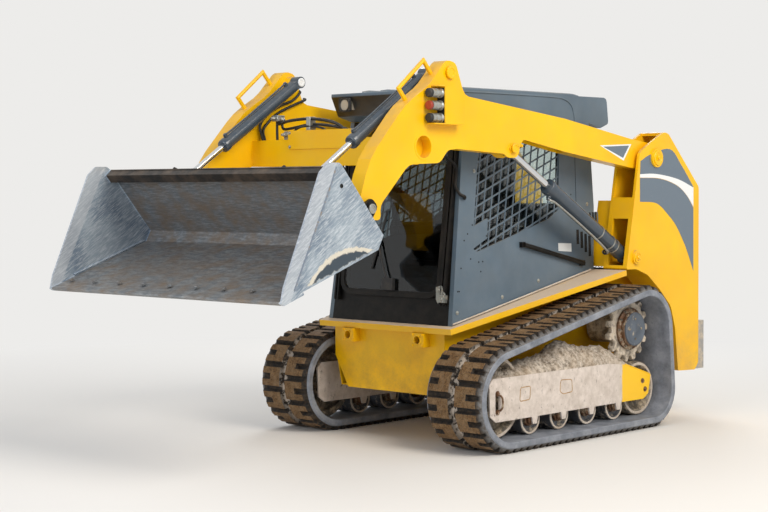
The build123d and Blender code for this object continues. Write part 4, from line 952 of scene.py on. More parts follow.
LIFT_BASE, LIFT_LUG, LIFT_X = (954.0, 1034.0), (-184.0, 1685.0), 636.0
EAR_PIN, TILT_PIN, TILT_X = (-720.0, 2086.0), (-1580.0, 1519.0), 508.0
ARM_PIVOT, BUCKET_HINGE = (1166.0, 1643.0), (-1375.0, 1360.0)
LIFT_LINE = (LIFT_X, LIFT_BASE, LIFT_LUG)     # a cylinder's x, its barrel's pin and its rod's pin
TILT_LINE = (TILT_X, EAR_PIN, TILT_PIN)
LIFT_PORT_WAY = (0.0, -0.4966, -0.868)        # square to the lift cylinder, away from the arm


def way_of(line):
    """A cylinder's direction in (y, z), from its barrel's pin to its rod's."""
    run = np.array(line[2]) - np.array(line[1])
    return run / np.hypot(*run)


def along(line, distance, side=0.0, aside=0.0):
    """The place at a distance from a cylinder's first pin, side above its line and aside in x."""
    run = way_of(line)
    y, z = np.array(line[1]) + run * distance + np.array([-run[1], run[0]]) * side
    return at((line[0] + aside, y, z))


def ring_on(line, rows, sides=32):
    """A ring turned about a cylinder's line, from rows of (distance, radius)."""
    return turned(rows, along(line, 0), (0.0, *way_of(line)), sides, True)


def line_beside(line, rows, radius):
    """A pipe in millimetres beside a cylinder, from rows of (x aside, distance, side)."""
    path = np.concatenate([along(line, distance, side, aside) for aside, distance, side in rows])
    return carried(smooth_path(path, 5), ring(radius / 1000, 10))


def pin_end(x, y, z, radius, tall=9.0):
    """A pin's end cap with its raised rim and dished middle, seen along X."""
    rows = [(-1, radius), (0, radius), (tall - 2, radius), (tall, radius - 2), (tall, radius * 0.72),
            (tall - 4, radius * 0.62), (tall - 4, 0.5)]
    return turned(rows, at((x, y, z)), LEFT, 28)


class LOADER_OT_arm_fittings(bpy.types.Operator):
    """Pin ends, keepers, the tube's lining, couplers' collars and the hoses on the arms."""

    bl_idname = "loader.arm_fittings"
    bl_label = "Arm fittings"

    def execute(self, context):
        mouth = [(-60, 60), (2, 60), (3.5, 64), (2, 70.5), (-60, 70.5)]
        lining = turned(mouth, at((682, -930, 1683)), LEFT, 40, True)
        back = turned([(0, 66), (3, 66)], at((619, -930, 1683)), LEFT, 40)
        make("tube_linings", two_sided(joined(lining, back)), "lift", "yellow")
        ends = joined(pin_end(690, *EAR_PIN, 34), pin_end(698, *LIFT_LUG, 26, 8))
        make("arm_pin_ends", two_sided(ends), "lift", "yellow")
        keeper = sheet_x(softened(oblong(-200, -122, 1688, 1712), 8, 4), 683, 689)
        keep_bolts = bolts([at((689, -140, 1700)), at((689, -112, 1700))], LEFT, 13, 6, 1.5)
        make("lug_keepers", two_sided(joined(keeper, keep_bolts)), "lift", "yellow", 0.001)
        bosses = joined(pin_end(738, *ARM_PIVOT, 46, 8), pin_end(738, *LIFT_BASE, 34, 7),
                        bolts([at((742, *ARM_PIVOT)), at((741, *LIFT_BASE))], LEFT, 24, 9, 3))
        make("tower_pin_ends", two_sided(bosses), "machine", "yellow")
        hinge_end = pin_end(730, *BUCKET_HINGE, 26, 7)
        make("hitch_pin_ends", two_sided(hinge_end), "bucket_body", "zinc")
        self.couplers()
        self.hoses()
        screws = [at((x, -1019, z)) for x in (-262, 246) for z in (1699, 1778)]
        make("blank_plate_screws", bolts(screws, AHEAD, 12, 4, 1), "lift", "zinc")
        return {"FINISHED"}

    def couplers(self):
        """Collars and caps on the three couplers, with the recess round them drawn as a dark sheet of painted
        shade, and ledges round them.
        """
        collar = [(0, 27), (10, 27), (13, 22), (27, 22), (30, 25), (45, 25), (48, 21.5), (63, 21.5), (66, 24),
                  (82, 24)]
        cap = [(0, 23), (2, 25), (14, 25), (19, 21), (20, 0.5)]
        heights = (1838, 1904, 1970)
        collars = [turned(collar, at((712, -823, z)), AHEAD, 24) for z in heights]
        caps = [turned(cap, at((712, -908, z)), AHEAD, 24) for z in heights]
        make("coupler_collars", joined(*collars), "lift", "zinc")
        make("coupler_caps", joined(caps[0], caps[2]), "lift", "plastic")
        make("coupler_cap_middle", caps[1], "lift", "red")
        # The recess is a dark sheet: painted shade in it.
        recess = sheet_x(oblong(-827.5, -824, 1812, 1998), 688, 738)
        make("coupler_recess", recess, "lift", "dark", smooth=False)
        ledges = joined(brick(683, 744, -905, -825, 1803, 1810), brick(683, 744, -868, -825, 2004, 2011))
        make("coupler_ledges", ledges, "lift", "yellow", 0.002)

    def hoses(self):
        """Hoses over the crossmember between their blocks and fittings, and pipes down the arms' inside."""
        # each hose's radius, then its places
        hoses = [(9, [(-437, -932, 1868), (-430, -942, 1850), (-420, -950, 1835), (-320, -962, 1850),
                      (-156, -962, 1857), (5, -955, 1838), (70, -925, 1800), (90, -905, 1738)]),
                 (8, [(-428, -925, 1862), (-424, -925, 1835), (-400, -930, 1805), (-290, -945, 1812),
                      (-156, -945, 1826), (10, -940, 1812), (110, -905, 1785), (130, -890, 1738)]),
                 (6, [(-300, -960, 1769), (-240, -985, 1800), (-170, -975, 1815), (-60, -950, 1800),
                      (0, -920, 1738)]),
                 (8, [(-448, -940, 1860), (-448, -942, 1800), (-448, -940, 1736)])]
        hoses = joined(*[tube(places, radius) for radius, places in hoses])
        make("crossmember_hoses", hoses, "lift", "hose")
        blocks = joined(brick(-345, -285, -985, -925, 1741, 1790), brick(-462, -412, -970, -915, 1850, 1885),
                        brick(-172, -140, -975, -930, 1741, 1868))
        # each fitting's place and direction
        fittings = [((-300, -985, 1770), AHEAD), ((-330, -985, 1770), AHEAD), ((-436, -970, 1866), AHEAD),
                    ((-412, -942, 1866), (1, 0, -0.4)), ((90, -905, 1741), UP), ((130, -890, 1741), UP),
                    ((0, -920, 1741), UP)]
        nut = [(0, 12), (16, 12), (18, 9), (30, 9)]
        fittings = [turned(nut, at(place), axis, 6) for place, axis in fittings]
        make("hose_fittings", joined(blocks, *fittings), "lift", "zinc", 0.002)
        upper = [(-597, -622, 2044), (-575, -640, 2030), (-572, -700, 1985), (-572, -800, 1950),
                 (-574, -900, 1895), (-574, -960, 1830), (-560, -955, 1760), (-556, -950, 1735)]
        lower = [(-597, -585, 1998), (-575, -600, 1990), (-572, -700, 1955), (-572, -830, 1900),
                 (-574, -930, 1815), (-560, -940, 1758), (-556, -935, 1735)]
        pipes = joined(tube(upper, 8), tube(lower, 8))
        make("arm_pipes", two_sided(pipes), "lift", "hose")


class LOADER_OT_cylinders(bpy.types.Operator):
    """Glands, ports, bands and hard lines on the lift and tilt cylinders."""

    bl_idname = "loader.cylinders"
    bl_label = "Cylinder fittings"

    def execute(self, context):
        gland = ring_on(LIFT_LINE, [(846, 45.5), (846, 48.5), (874, 48.5), (880, 46), (885, 40),
                                    (885.5, 23.5), (846, 23.5)], 36)
        port = [(0, 15), (14, 15), (14, 11), (24, 11)]
        ports = [turned(port, along(LIFT_LINE, d, 42), LIFT_PORT_WAY, 12) for d in (836, 170)]
        make("lift_glands", two_sided(joined(gland, *ports)), "lift_barrel_pair", "cylinder")
        bands = [ring_on(LIFT_LINE, [(d, 45.2), (d, 47.6), (d + w, 47.6), (d + w, 45.2)], 36)
                 for d, w in ((311, 9), (181, 9), (137, 7))]
        make("barrel_bands", two_sided(joined(*bands)), "lift_barrel_pair", "zinc")
        pipe = [(0, 836, 62), (12, 818, 63), (18, 780, 58), (20, 600, 54), (20, 400, 54), (20, 330, 55),
                (16, 200, 60), (6, 172, 64)]
        pipe = line_beside(LIFT_LINE, pipe, 7)
        make("barrel_pipes", two_sided(pipe), "lift_barrel_pair", "zinc")
        hose = [(2, 170, 66), (-20, 165, 66), (-48, 150, 45), (-55, 120, 15), (-55, 90, 0), (-48, 66, 0),
                (-26, 52, 0)]
        hose = line_beside(LIFT_LINE, hose, 7)
        make("barrel_hoses", two_sided(hose), "lift_barrel_pair", "hose")

        gland = ring_on(TILT_LINE, [(664, 35.5), (664, 38.5), (690, 38.5), (698, 35), (701.5, 30),
                                    (701.8, 18.3), (664, 18.3)])
        run = way_of(TILT_LINE)
        above = np.array([0.0, run[1], -run[0]])
        port = [(0, 13), (12, 13), (12, 10), (20, 10)]
        ports = [turned(port, along(TILT_LINE, d) + above * 0.034, above, 12) for d in (648, 90)]
        make("tilt_glands", two_sided(joined(gland, *ports)), "tilt_barrel_pair", "cylinder")
        # a pipe's distances along the barrel in millimetres and heights over its middle in metres
        base = np.concatenate([along(TILT_LINE, d) for d in (648, 620, 400, 150, 90)])
        lifted = base + above * np.array([0.05, 0.045, 0.043, 0.045, 0.05])[:, None]
        pipe = carried(smooth_path(lifted, 6), ring(0.0055, 10))
        make("tilt_pipes", two_sided(pipe), "tilt_barrel_pair", "cylinder")
        disc = [(0, 26), (4, 26), (6, 24), (6, 12), (4, 10), (4, 0.5)]
        disc = turned(disc, at((TILT_X - 30.5, *EAR_PIN)), (-1, 0, 0), 28)
        make("tilt_pin_discs", two_sided(disc), "tilt_barrel_pair", "white")
        return {"FINISHED"}


# Running gear

TRACK_X = 675.0
ROLLER_Z = 153.3
ROLLERS = (-119.0, 148.0, 416.0, 683.0)     # y of each roller
# each wheel's y, z and the radius that the belt runs on
FRONT_IDLER, REAR_IDLER, SPROCKET = (-410.0, 300.0, 235.0), (955.0, 230.0, 165.0), (885.0, 600.0, 205.0)
PITCH = 130                                 # the tread's pitch in the units of its marks
SLOT_FLOOR = 41.0                           # height of a slot's floor over the belt's inner face
TREAD_TOP = 60                              # what stands higher than this is a block's top


def loop_points(share):
    """Places (y, z) and outward directions at shares of the way round the belt's inner face.

    The loop is the three wheels' arcs joined by the lines that touch them.
    """
    wheels = np.array([FRONT_IDLER, REAR_IDLER, SPROCKET])
    ahead = np.roll(wheels, -1, 0)
    gap = ahead[:, :2] - wheels[:, :2]
    d = np.linalg.norm(gap, axis=1)
    lean = (wheels[:, 2] - ahead[:, 2]) / d
    across = np.sqrt(1 - lean ** 2)
    unit = gap / d[:, None]
    normal = np.stack([unit[:, 0] * lean + unit[:, 1] * across, unit[:, 1] * lean - unit[:, 0] * across], 1)
    places, ways = [], []
    for k in range(3):
        before, after = normal[k - 1], normal[k]
        start = np.arctan2(before[1], before[0])
        sweep = (np.arctan2(after[1], after[0]) - start) % (2 * np.pi)
        angle = start + sweep * np.linspace(0, 1, 60)
        way = np.stack([np.cos(angle), np.sin(angle)], 1)
        places.append(wheels[k, :2] + way * wheels[k, 2])
        ways.append(way)
    places, ways = np.concatenate(places), np.concatenate(ways)
    places, ways = np.vstack([places, places[:1]]), np.vstack([ways, ways[:1]])
    reach = np.concatenate([[0], np.cumsum(np.linalg.norm(np.diff(places, axis=0), axis=1))])
    s = share * reach[-1]
    place = np.stack([np.interp(s, reach, places[:, k]) for k in (0, 1)], 1)
    way = np.stack([np.interp(s, reach, ways[:, k]) for k in (0, 1)], 1)
    return place, way / np.linalg.norm(way, axis=1, keepdims=True)


def belt(pitches=37):
    """A rubber belt as a grid, steps round the loop by places across its section, with each face's class.

    Treading blocks stand on both halves. Each pitch has a long slot across one half and a short slot
    in from the other's edge, half a pitch apart. A place's height is the belt's thickness, plus the
    block's height where no slot or groove is. The classes are 0 on the belt's edges and inner face,
    1 between the blocks and 2 on their tops.
    """
    marks = np.array([-16, -8, 8, 16, 32, 49, 57, 73, 81, 98]) / PITCH
    share = ((np.arange(pitches)[:, None] + marks) / pitches).ravel()
    kind = np.tile(np.array([0, 1, 1, 0, 0, 0, 2, 2, 0, 0]), pitches)
    order = np.argsort(share)
    share, kind = share[order], kind[order]
    place, way = loop_points(share % 1.0)
    # x from the belt's middle, height, and which slots cut it: 1 long, 2 both
    half = [(16, 38, 0), (24, 65, 1), (104, 65, 1), (112, 65, 2), (172, 65, 2), (192, 40, 0), (200, 37, 0),
            (205, 31, 0), (205, 5, 0), (201, 0, 0)]
    right = np.array(half, float)
    left = right[::-1] * [-1, 1, 1]
    x, height, cut = np.vstack([right, left]).T
    first = (x > 0)[None, :]
    long_slot = np.where(first, kind[:, None] == 1, kind[:, None] == 2)
    short_slot = np.where(first, kind[:, None] == 2, kind[:, None] == 1)
    slotted = (long_slot & (cut >= 1)[None, :]) | (short_slot & (cut >= 2)[None, :])
    height = np.where(slotted, SLOT_FLOOR, height[None, :])
    points = np.concatenate([np.broadcast_to(TRACK_X + x, height.shape)[..., None],
                             place[:, None] + way[:, None] * height[..., None]], -1)
    tread = height > TREAD_TOP
    pair = tread & np.roll(tread, -1, 1)
    over = pair & np.roll(pair, -1, 0)
    n, m = height.shape
    column = np.arange(m)
    outer = column <= len(half) - 5
    outer = np.broadcast_to(outer | outer[::-1] | (column == m - 1), (n, m))
    faces = grid_faces(n, m, True, True)
    return ((points + SHIFT) / 1000).reshape(-1, 3), faces, np.where(over, 2, outer * 1).ravel()


def idler_wheel(y, z, r):
    """An idler: rim with rounded shoulders, thin dished web and thick hub, turned about X."""
    rows = [(-62, r - 42), (-62, r - 6), (-56, r - 0.5), (56, r - 0.5), (62, r - 6), (62, r - 26),
            (50, r - 40), (22, r - 48), (12, 84), (28, 72), (46, 60), (46, 26), (-46, 26), (-46, 60),
            (-28, 72), (-12, 84), (-22, r - 48)]
    return turned(rows, at((TRACK_X, y, z)), LEFT, 56, True)


def toothed_ring(y, z, inner, root, tip, teeth, x0, x1, steps=16):
    """A ring whose outer radius rises from root to tip and back once for each tooth, with flat tips."""
    angle = np.arange(teeth * steps) * 2 * np.pi / (teeth * steps)
    wave = np.clip(0.5 + 1.1 * np.cos(angle * teeth), 0, 1)
    outer = root + (tip - root) * wave
    inside = inner + 0 * outer
    spoke = np.stack([np.cos(angle), np.sin(angle)], -1)
    corners = [(x0, inside), (x1, inside), (x1, outer - 4), (x1 - 5, outer), (x0 + 5, outer), (x0, outer - 4)]
    places = [np.column_stack([np.full(len(angle), x), (y, z) + spoke * r[:, None]]) for x, r in corners]
    points = (np.stack(places, 1) + SHIFT) / 1000
    return points.reshape(-1, 3), grid_faces(len(angle), len(corners), True, True)


class LOADER_OT_running_gear(bpy.types.Operator):
    """Turned rollers, idlers and drives in place of the plain ones, with the frame's bolts and mud."""

    bl_idname = "loader.running_gear"
    bl_label = "Running gear"

    def execute(self, context):
        points, faces, classes = belt()
        for side, shape in (("left", (points, faces)), ("right", other_side((points, faces)))):
            piece = make("belt_" + side, shape, "machine", "rubber")
            more_finishes(piece, ("groove", "soil"), classes)
            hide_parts("track_" + side)
        self.rollers()
        self.idlers()
        self.drives()
        self.frames()
        return {"FINISHED"}

    def rollers(self):
        """Double flanged rollers, each with a hub and a square pin on both sides and a dusty rim."""
        body = [(-80, 70), (-80, 83), (-75, 88), (-24, 88), (-18, 80), (18, 80), (24, 88), (75, 88), (80, 83),
                (80, 70), (64, 62), (56, 40), (56, 20), (-56, 20), (-56, 40), (-64, 62)]
        hub = [(0, 42), (20, 40), (24, 34), (40, 33), (44, 28), (48, 28)]
        square = [(0, 21), (12, 21), (14, 19)]
        rim = [(78, 73), (81.5, 74), (81.5, 84), (78, 86)]
        rollers, hubs, rims = [], [], []
        for y in ROLLERS:
            rollers.append(turned(body, at((TRACK_X, y, ROLLER_Z)), LEFT, 44, True))
            for side in (-1, 1):
                out = (side, 0, 0)
                hubs.append(turned(hub, at((TRACK_X + side * 54, y, ROLLER_Z)), out, 28))
                hubs.append(turned(square, at((TRACK_X + side * 99, y, ROLLER_Z)), out, 4))
                rims.append(turned(rim, at((TRACK_X, y, ROLLER_Z)), out, 44, True))
        make("roller_hubs", two_sided(joined(*hubs)), "machine", "rusty")
        make("roller_rims", two_sided(joined(*rims)), "machine", "dust")
        piece = make("turned_rollers", two_sided(joined(*rollers)), "machine", "gear_dark")
        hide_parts("rollers")

    def idlers(self):
        """Front and rear idlers with their shafts and caps, and a dusty ring on each rim."""
        wheels, caps, shafts, rims = [], [], [], []
        for y, z, r in (FRONT_IDLER, REAR_IDLER):
            middle = at((TRACK_X, y, z))
            wheels.append(idler_wheel(y, z, r))
            caps.append(turned([(0, 40), (14, 38), (20, 30), (22, 0.5)], at((TRACK_X + 44, y, z)), LEFT, 28))
            shafts.append(turned([(-106, 26), (106, 26)], middle, LEFT, 24))
            rim = [(60, r - 24), (64, r - 22), (64, r - 8), (60, r - 6)]
            rims.append(turned(rim, middle, LEFT, 56, True))
        shape = joined(*wheels, *caps, *shafts)
        piece = make("turned_idlers", two_sided(shape), "machine", "gear")
        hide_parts("idlers")
        make("idler_rims", two_sided(joined(*rims)), "machine", "dust")

    def drives(self):
        """Toothed drives on their motors, with the drum, the cap and two circles of bolts."""
        y, z, r = SPROCKET
        centre = at((TRACK_X, y, z))
        teeth = toothed_ring(y, z, 112, r - 34, r - 0.8, 15, TRACK_X + 10, TRACK_X + 42)
        motor = [(8, 120), (30, 120), (34, 92), (-205, 92), (-205, 20), (8, 20)]
        motor = turned(motor, centre, LEFT, 40, True)
        piece = make("toothed_drives", two_sided(joined(teeth, motor)), "machine", "sprocket")
        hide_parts("drives")
        drum = [(40, 124), (46, 128), (58, 128), (62, 122), (66, 110), (84, 108), (88, 100), (88, 20),
                (40, 20)]
        drum = turned(drum, centre, LEFT, 48, True)
        make("drive_drums", two_sided(drum), "machine", "rusty")
        cap = [(84, 101), (88, 103), (96, 101), (98, 94), (94, 88), (94, 30), (97, 24), (97, 0.5)]
        cap = turned(cap, centre, LEFT, 48)
        make("drive_caps", two_sided(cap), "machine", "slate_worn")
        angle = np.arange(12) * np.pi / 6
        circle = [at((TRACK_X + 60, y + 117 * np.cos(a), z + 117 * np.sin(a))) for a in angle]
        inner = [at((TRACK_X + 94, y + 60 * np.cos(a), z + 60 * np.sin(a))) for a in angle[::3]]
        heads = joined(bolts(circle, LEFT, 16, 8, 1), bolts(inner, LEFT, 14, 4))
        make("drive_bolts", two_sided(heads), "machine", "gear")

    def frames(self):
        """The track frames' bolts, hook, worn patches, edge and mud."""
        places = [(957, 229), (930, 282), (-450, 330), (-450, 226)]
        heads = bolts([at((790, y, z)) for y, z in places], LEFT, 20, 8, 2)
        hook = tube([(796, -436, 322), (808, -428, 300), (808, -428, 255), (796, -436, 232)], 6)
        make("frame_bolts", two_sided(joined(heads, hook)), "machine", "rusty")
        outlines = [[(-255, 268), (-165, 272), (-160, 347), (-250, 345)],
                    [(110, 290), (140, 274), (228, 280), (222, 352), (118, 357)]]
        patches = []
        for outline in outlines:
            line = softened(outline, 14, 4)
            rim = at(np.column_stack([np.full(len(line), 790.2), line]))
            patches.append(strip(rim, 6, 1.6, 0.5, 2, True))
        make("bare_patches", two_sided(joined(*patches)), "machine", "patch", smooth=False)
        edge = at((741, 1019, 318), (760, 1022, 316), (786, 1012, 318), (789, 900, 352), (789, 750, 398))
        edge = carried(edge, ring(0.004, 8))
        make("frame_edges", two_sided(edge), "machine", "caked")
        make("mud_heaps", two_sided(self.heap()), "machine", "mud")

    def heap(self):
        """Mud on the frame: the measured crest over the frame's length, falling to both sides, with clods."""
        y = np.linspace(-505, 905, 190)
        x = np.linspace(563, 788, 34)
        # the crest's y and z, then the foot's
        crest = np.array([(-505, 404), (-430, 414), (-347, 432), (-250, 456), (-98, 480), (21, 486),
                          (120, 505), (191, 556), (240, 566), (330, 536), (420, 516), (479, 509), (618, 508),
                          (700, 470), (823, 392), (905, 352)])
        foot = np.array([(-505, 400), (581, 400), (744, 386), (905, 344)])
        crest, base = np.interp(y, *crest.T), np.interp(y, *foot.T)
        row, column = np.meshgrid(y, x, indexing="ij")
        across = (column - 563) / 225
        ridge = np.clip(np.sin(np.pi * np.clip(across * 0.94 + 0.03, 0, 1)), 0, 1) ** 0.55
        height = base[:, None] + (crest - base)[:, None] * ridge
        broad = np.sin(row * 0.061 + 1.3) * np.sin(column * 0.083 + row * 0.011)
        lumps = np.sin(row * 0.19 + column * 0.13) * np.sin(column * 0.23 - row * 0.07)
        crumbs = np.abs(np.sin(row * 0.37 + column * 0.29)) * np.abs(np.sin(column * 0.41 - row * 0.23))
        top = height + (broad * 7 + lumps * 5 + crumbs * 7) * ridge
        under = np.minimum(base[:, None] - 4 + 0 * row, top - 4)
        return solid_of(*[(np.stack([column, row, z], -1) + SHIFT) / 1000 for z in (top, under)])


# Bucket

# places in (y, z): the bucket's heel and edge, and the foot and head of its back
HEEL, EDGE = np.array([-1536.0, 1159.0]), np.array([-2193.0, 925.0])
BACK_FOOT, BACK_HEAD = np.array([-1498.0, 1231.0]), np.array([-1784.0, 1574.0])


class LOADER_OT_bucket_fittings(bpy.types.Operator):
    """Edge bolts, creases and holes in the sides drawn as dark discs of painted shade, welds, back stiffeners
    and hitch levers.
    """

    bl_idname = "loader.bucket_fittings"
    bl_label = "Bucket fittings"

    def execute(self, context):
        run = (EDGE - HEEL) / np.hypot(*(EDGE - HEEL))
        up = np.array([run[1], -run[0]])
        spot = EDGE - run * 95 + up * 16
        heads = [at((x, *spot)) for x in np.linspace(-840, 840, 9)]
        make("edge_bolts", bolts(heads, (0, *up), 20, 5, 2), "bucket_body", "bucket")
        crease = [(-1827, 1570), (-1856, 1500), (-1939, 1330), (-2062, 1080), (-2110, 985)]
        bead = strip(at(*[(927.5, y, z) for y, z in crease]), 8, 6, 2)
        make("side_creases", two_sided(bead), "bucket_body", "bright")
        # Each hole is a dark disc: painted shade in it.
        hole = turned([(0, 0.5), (0.6, 11), (0, 11.5)], at((927.2, -1791, 1477)), LEFT, 20)
        make("side_holes", two_sided(hole), "bucket_body", "dark", smooth=False)
        seams = [[(-1552, 1172), (-1750, 1100), (-2040, 998)], [(-1530, 1262), (-1650, 1406), (-1780, 1562)]]
        welds = [carried(at(*[(913, y, z) for y, z in seam]), ring(0.006, 8)) for seam in seams]
        make("welds", two_sided(joined(*welds)), "bucket_body", "bucket")

        run = (BACK_HEAD - BACK_FOOT) / np.hypot(*(BACK_HEAD - BACK_FOOT))
        behind = np.array([run[1], -run[0]])
        # along the back and out from it
        rib = [BACK_FOOT + run * d + behind * out for d, out in ((8, 0), (420, 0), (420, 18), (60, 24))]
        ribs = [sheet_x(rib, x - 7, x + 7) for x in (-800, 800)]
        make("back_ribs", joined(*ribs), "bucket_body", "bucket", 0.002)
        levers = []
        for x in (-380, 380):
            foot = BACK_FOOT + run * 372 + behind * 24
            out = np.sign(x)
            places = at((x, *foot), (x + out * 10, *(foot + behind * 24 + run * 8)),
                        (x + out * 60, *(foot + behind * 30 + run * 30)))
            levers.append(carried(places, ring(0.011, 12)))
        make("hitch_levers", joined(*levers), "bucket_body", "black")
        return {"FINISHED"}


# Body

class LOADER_OT_body_fittings(bpy.types.Operator):
    """Tie blocks' rims and bolts, cab seals, rear door's handle and grille, bumper pads and exhaust."""

    bl_idname = "loader.body_fittings"
    bl_label = "Body fittings"

    def execute(self, context):
        rim = [(0, 22.3), (2.5, 22.3), (4, 25), (2.5, 29), (0, 30)]
        rims = [turned(rim, at((x, -546, 602)), AHEAD, 28, True) for x in (-277, 277)]
        make("tie_hole_rims", joined(*rims), "machine", "yellow_low")
        heads = [at((x + dx, -546, z)) for x in (-277, 277) for dx in (-36, 36) for z in (571, 632)]
        make("tie_bolts", bolts(heads, AHEAD, 13, 5, 1.5), "machine", "yellow_low")
        foot = at((493, -484, 698), (497, -300, 735), (497, 200, 836), (497, 700, 938), (497, 800, 958))
        make("cab_seals", two_sided(carried(foot, ring(0.005, 8))), "machine", "dust")
        bar = [(-430, 1661, 1010), (-430, 1690, 1000), (-430, 1690, 900), (-430, 1661, 890)]
        lock = turned([(0, 17), (5, 17), (7, 13)], at((-430, 1660, 840)), BACK, 24)
        make("door_handle", joined(tube(bar, 9), lock), "rear_door_body", "black")
        border = trim(upright(1660), oblong(-400, 400, 705, 1160), 1, 14, 6, 16)
        make("grille_frame", border, "rear_door_body", "slate")
        # the grille's two layers: the slope of its strands and the depths of their faces
        inside = oblong(-384, 384, 716, 1148)
        layers = [slats(strands(inside, (1.0, slope), 24, 3), upright(1637, -1), low, high)
                  for slope, low, high in ((0.6, -2.5, 0), (-0.6, -0.5, 2))]
        make("rear_grille", joined(*layers), "rear_door_body", "black", smooth=False)
        pads = joined(*[brick(x - 60, x + 60, 1744, 1752, 320, 570) for x in (-520, 520)])
        make("bumper_pads", pads, "machine", "seal", 0.004)
        heads = [at((x, 1745, z)) for x in (-640, -400, 400, 640) for z in (340, 550)]
        make("bumper_bolts", bolts(heads, BACK, 22, 6, 2), "machine", "zinc")
        stack = [(0, 52), (8, 52), (12, 34), (150, 34), (152, 30), (140, 29), (20, 29), (18, 0.5)]
        stack = turned(stack, at((330, 1440, 1289)), UP, 32)
        make("exhaust", stack, "machine", "rusty")
        ridges = [at((x, 1100, 1290), (x, 1620, 1290)) for x in (-420, -210, 0, 210, 420)]
        ridges = joined(*[carried(ridge, ring(0.006, 8)) for ridge in ridges])
        make("cover_ridges", ridges, "machine", "slate")
        return {"FINISHED"}


# Seat and controls

PAD_VOXEL = 0.009            # side of an even mesh's cells, in metres
PAD_PRESSURE = 4.0
SWELL_FRAMES = 14
SWELL_MOST = 0.009           # how far a point may move, in metres


class LOADER_OT_seat(bpy.types.Operator):
    """Padded seat, belt, arm pads and levers inside the cab, with its lining and mat."""

    bl_idname = "loader.seat"
    bl_label = "Seat and controls"

    def execute(self, context):
        cushion = self.pad("seat_cushion", (0, 165, 1066), (462, 440, 100))
        self.pad("seat_back", (0, 348, 1400), (440, 90, 540))
        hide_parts("seat")
        shell = joined(sheet_x(oblong(392, 399, 1120, 1672), -225, 225),
                       brick(-236, 236, -52, 396, 1010, 1026))
        make("seat_shell", shell, "machine", "plastic", 0.006)
        belt = [(-236, 250, 1085), (-225, 200, 1128), (-120, 120, 1136), (0, 100, 1138), (120, 120, 1136),
                (225, 200, 1128), (236, 250, 1085)]
        band = strip(smooth_path(at(*belt), 8), 48, 3, 1)
        make("lap_belt", band, "machine", "webbing")
        buckle = brick(-32, 32, 84, 118, 1128, 1150)
        make("belt_buckle", buckle, "machine", "red", 0.005)
        sides = (-295, 295)
        pads = [brick(x - 38, x + 38, -110, 300, 1230, 1256) for x in sides]
        make("arm_pads", joined(*pads), "machine", "vinyl", 0.012)
        boot = [(0, 42), (8, 42), (12, 34), (18, 37), (24, 30), (30, 33), (36, 26), (42, 28), (50, 20)]
        knob = [(0, 17), (14, 20), (40, 22), (70, 20), (86, 24), (98, 23), (106, 14), (108, 0.5)]
        boots = [turned(boot, at((x, -100, 1228)), (0, -0.1, 1), 24) for x in sides]
        knobs = [turned(knob, at((x, -104, 1268)), (0, -0.12, 1), 24) for x in sides]
        make("lever_boots", joined(*boots), "machine", "seal")
        make("lever_knobs", joined(*knobs), "machine", "plastic")
        lining = brick(-395, 395, -300, 780, 1842, 1856)
        make("roof_lining", lining, "machine", "plastic", 0.004)
        mat = brick(-400, 400, -440, 60, 652, 660)
        make("floor_mat", mat, "machine", "seal", 0.003)
        return {"FINISHED"}

    def pad(self, name, centre, size):
        """A cushion: a superellipse block crowned in the middle, swollen by cloth pressure."""
        u = np.linspace(-1, 1, 40)
        a, b = np.meshgrid(u, u, indexing="ij")
        thin = int(np.argmin(size))
        flat = [k for k in range(3) if k != thin]
        crown = (1 - np.abs(a) ** 6) ** 0.5 * (1 - np.abs(b) ** 6) ** 0.5
        sides = []
        for way in (1, -1):
            p = np.zeros((*a.shape, 3))
            p[..., flat[0]] = a * size[flat[0]] / 2 * (1 - 0.05 * b ** 2)
            p[..., flat[1]] = b * size[flat[1]] / 2 * (1 - 0.05 * a ** 2)
            p[..., thin] = way * (0.22 + 0.78 * crown) * (size[thin] / 2 - 10)
            sides.append((p + centre + SHIFT) / 1000)
        piece = make(name, solid_of(*sides), "machine", "vinyl")
        self.swell(piece)
        return piece

    def swell(self, piece):
        """Cloth pressure puffs the cushion; no point moves more than SWELL_MOST."""
        scene = bpy.context.scene
        view = bpy.context.view_layer
        view.objects.active = piece
        remesh = piece.modifiers.new("Even mesh", "REMESH")
        remesh.mode, remesh.voxel_size = "VOXEL", PAD_VOXEL
        piece.data = bpy.data.meshes.new_from_object(piece.evaluated_get(view.depsgraph))
        piece.modifiers.clear()
        count = len(piece.data.vertices)
        rest = np.empty(count * 3)
        piece.data.vertices.foreach_get("co", rest)
        cloth = piece.modifiers.new("Stuffing", "CLOTH")
        cloth.settings.use_pressure = True
        cloth.settings.uniform_pressure_force = PAD_PRESSURE
        cloth.settings.effector_weights.gravity = 0.0
        for k in range(1, SWELL_FRAMES + 1):
            scene.frame_set(k)
        puffed = bpy.data.meshes.new_from_object(piece.evaluated_get(view.depsgraph))
        moved = np.empty(count * 3)
        puffed.vertices.foreach_get("co", moved)
        step = (moved - rest).reshape(-1, 3)
        length = np.linalg.norm(step, axis=1, keepdims=True)
        step *= np.minimum(1, SWELL_MOST / np.maximum(length, 1e-9))
        piece.data.vertices.foreach_set("co", (rest.reshape(-1, 3) + step).ravel())
        piece.modifiers.clear()
        piece.data.shade_smooth()
        piece.data.update()
        scene.frame_set(1)


# Stage

CAMERA_AT = (6.677, -7.305, 1.475)
AZIMUTH, ELEVATION, ROLL = 43.622, 2.386, -0.251
LENS_MM, SENSOR_MM = 78.50, 36.0
BACKDROP, FLOOR, DAYLIGHT = "EDECEA", "E6E4E0", "EDEFF2"
FLOOR_HALF = 40.0            # half the floor's side, in metres
FADE_FROM, FADE_TO = 2.4, 6.5      # the floor turns to backdrop between these distances, in metres


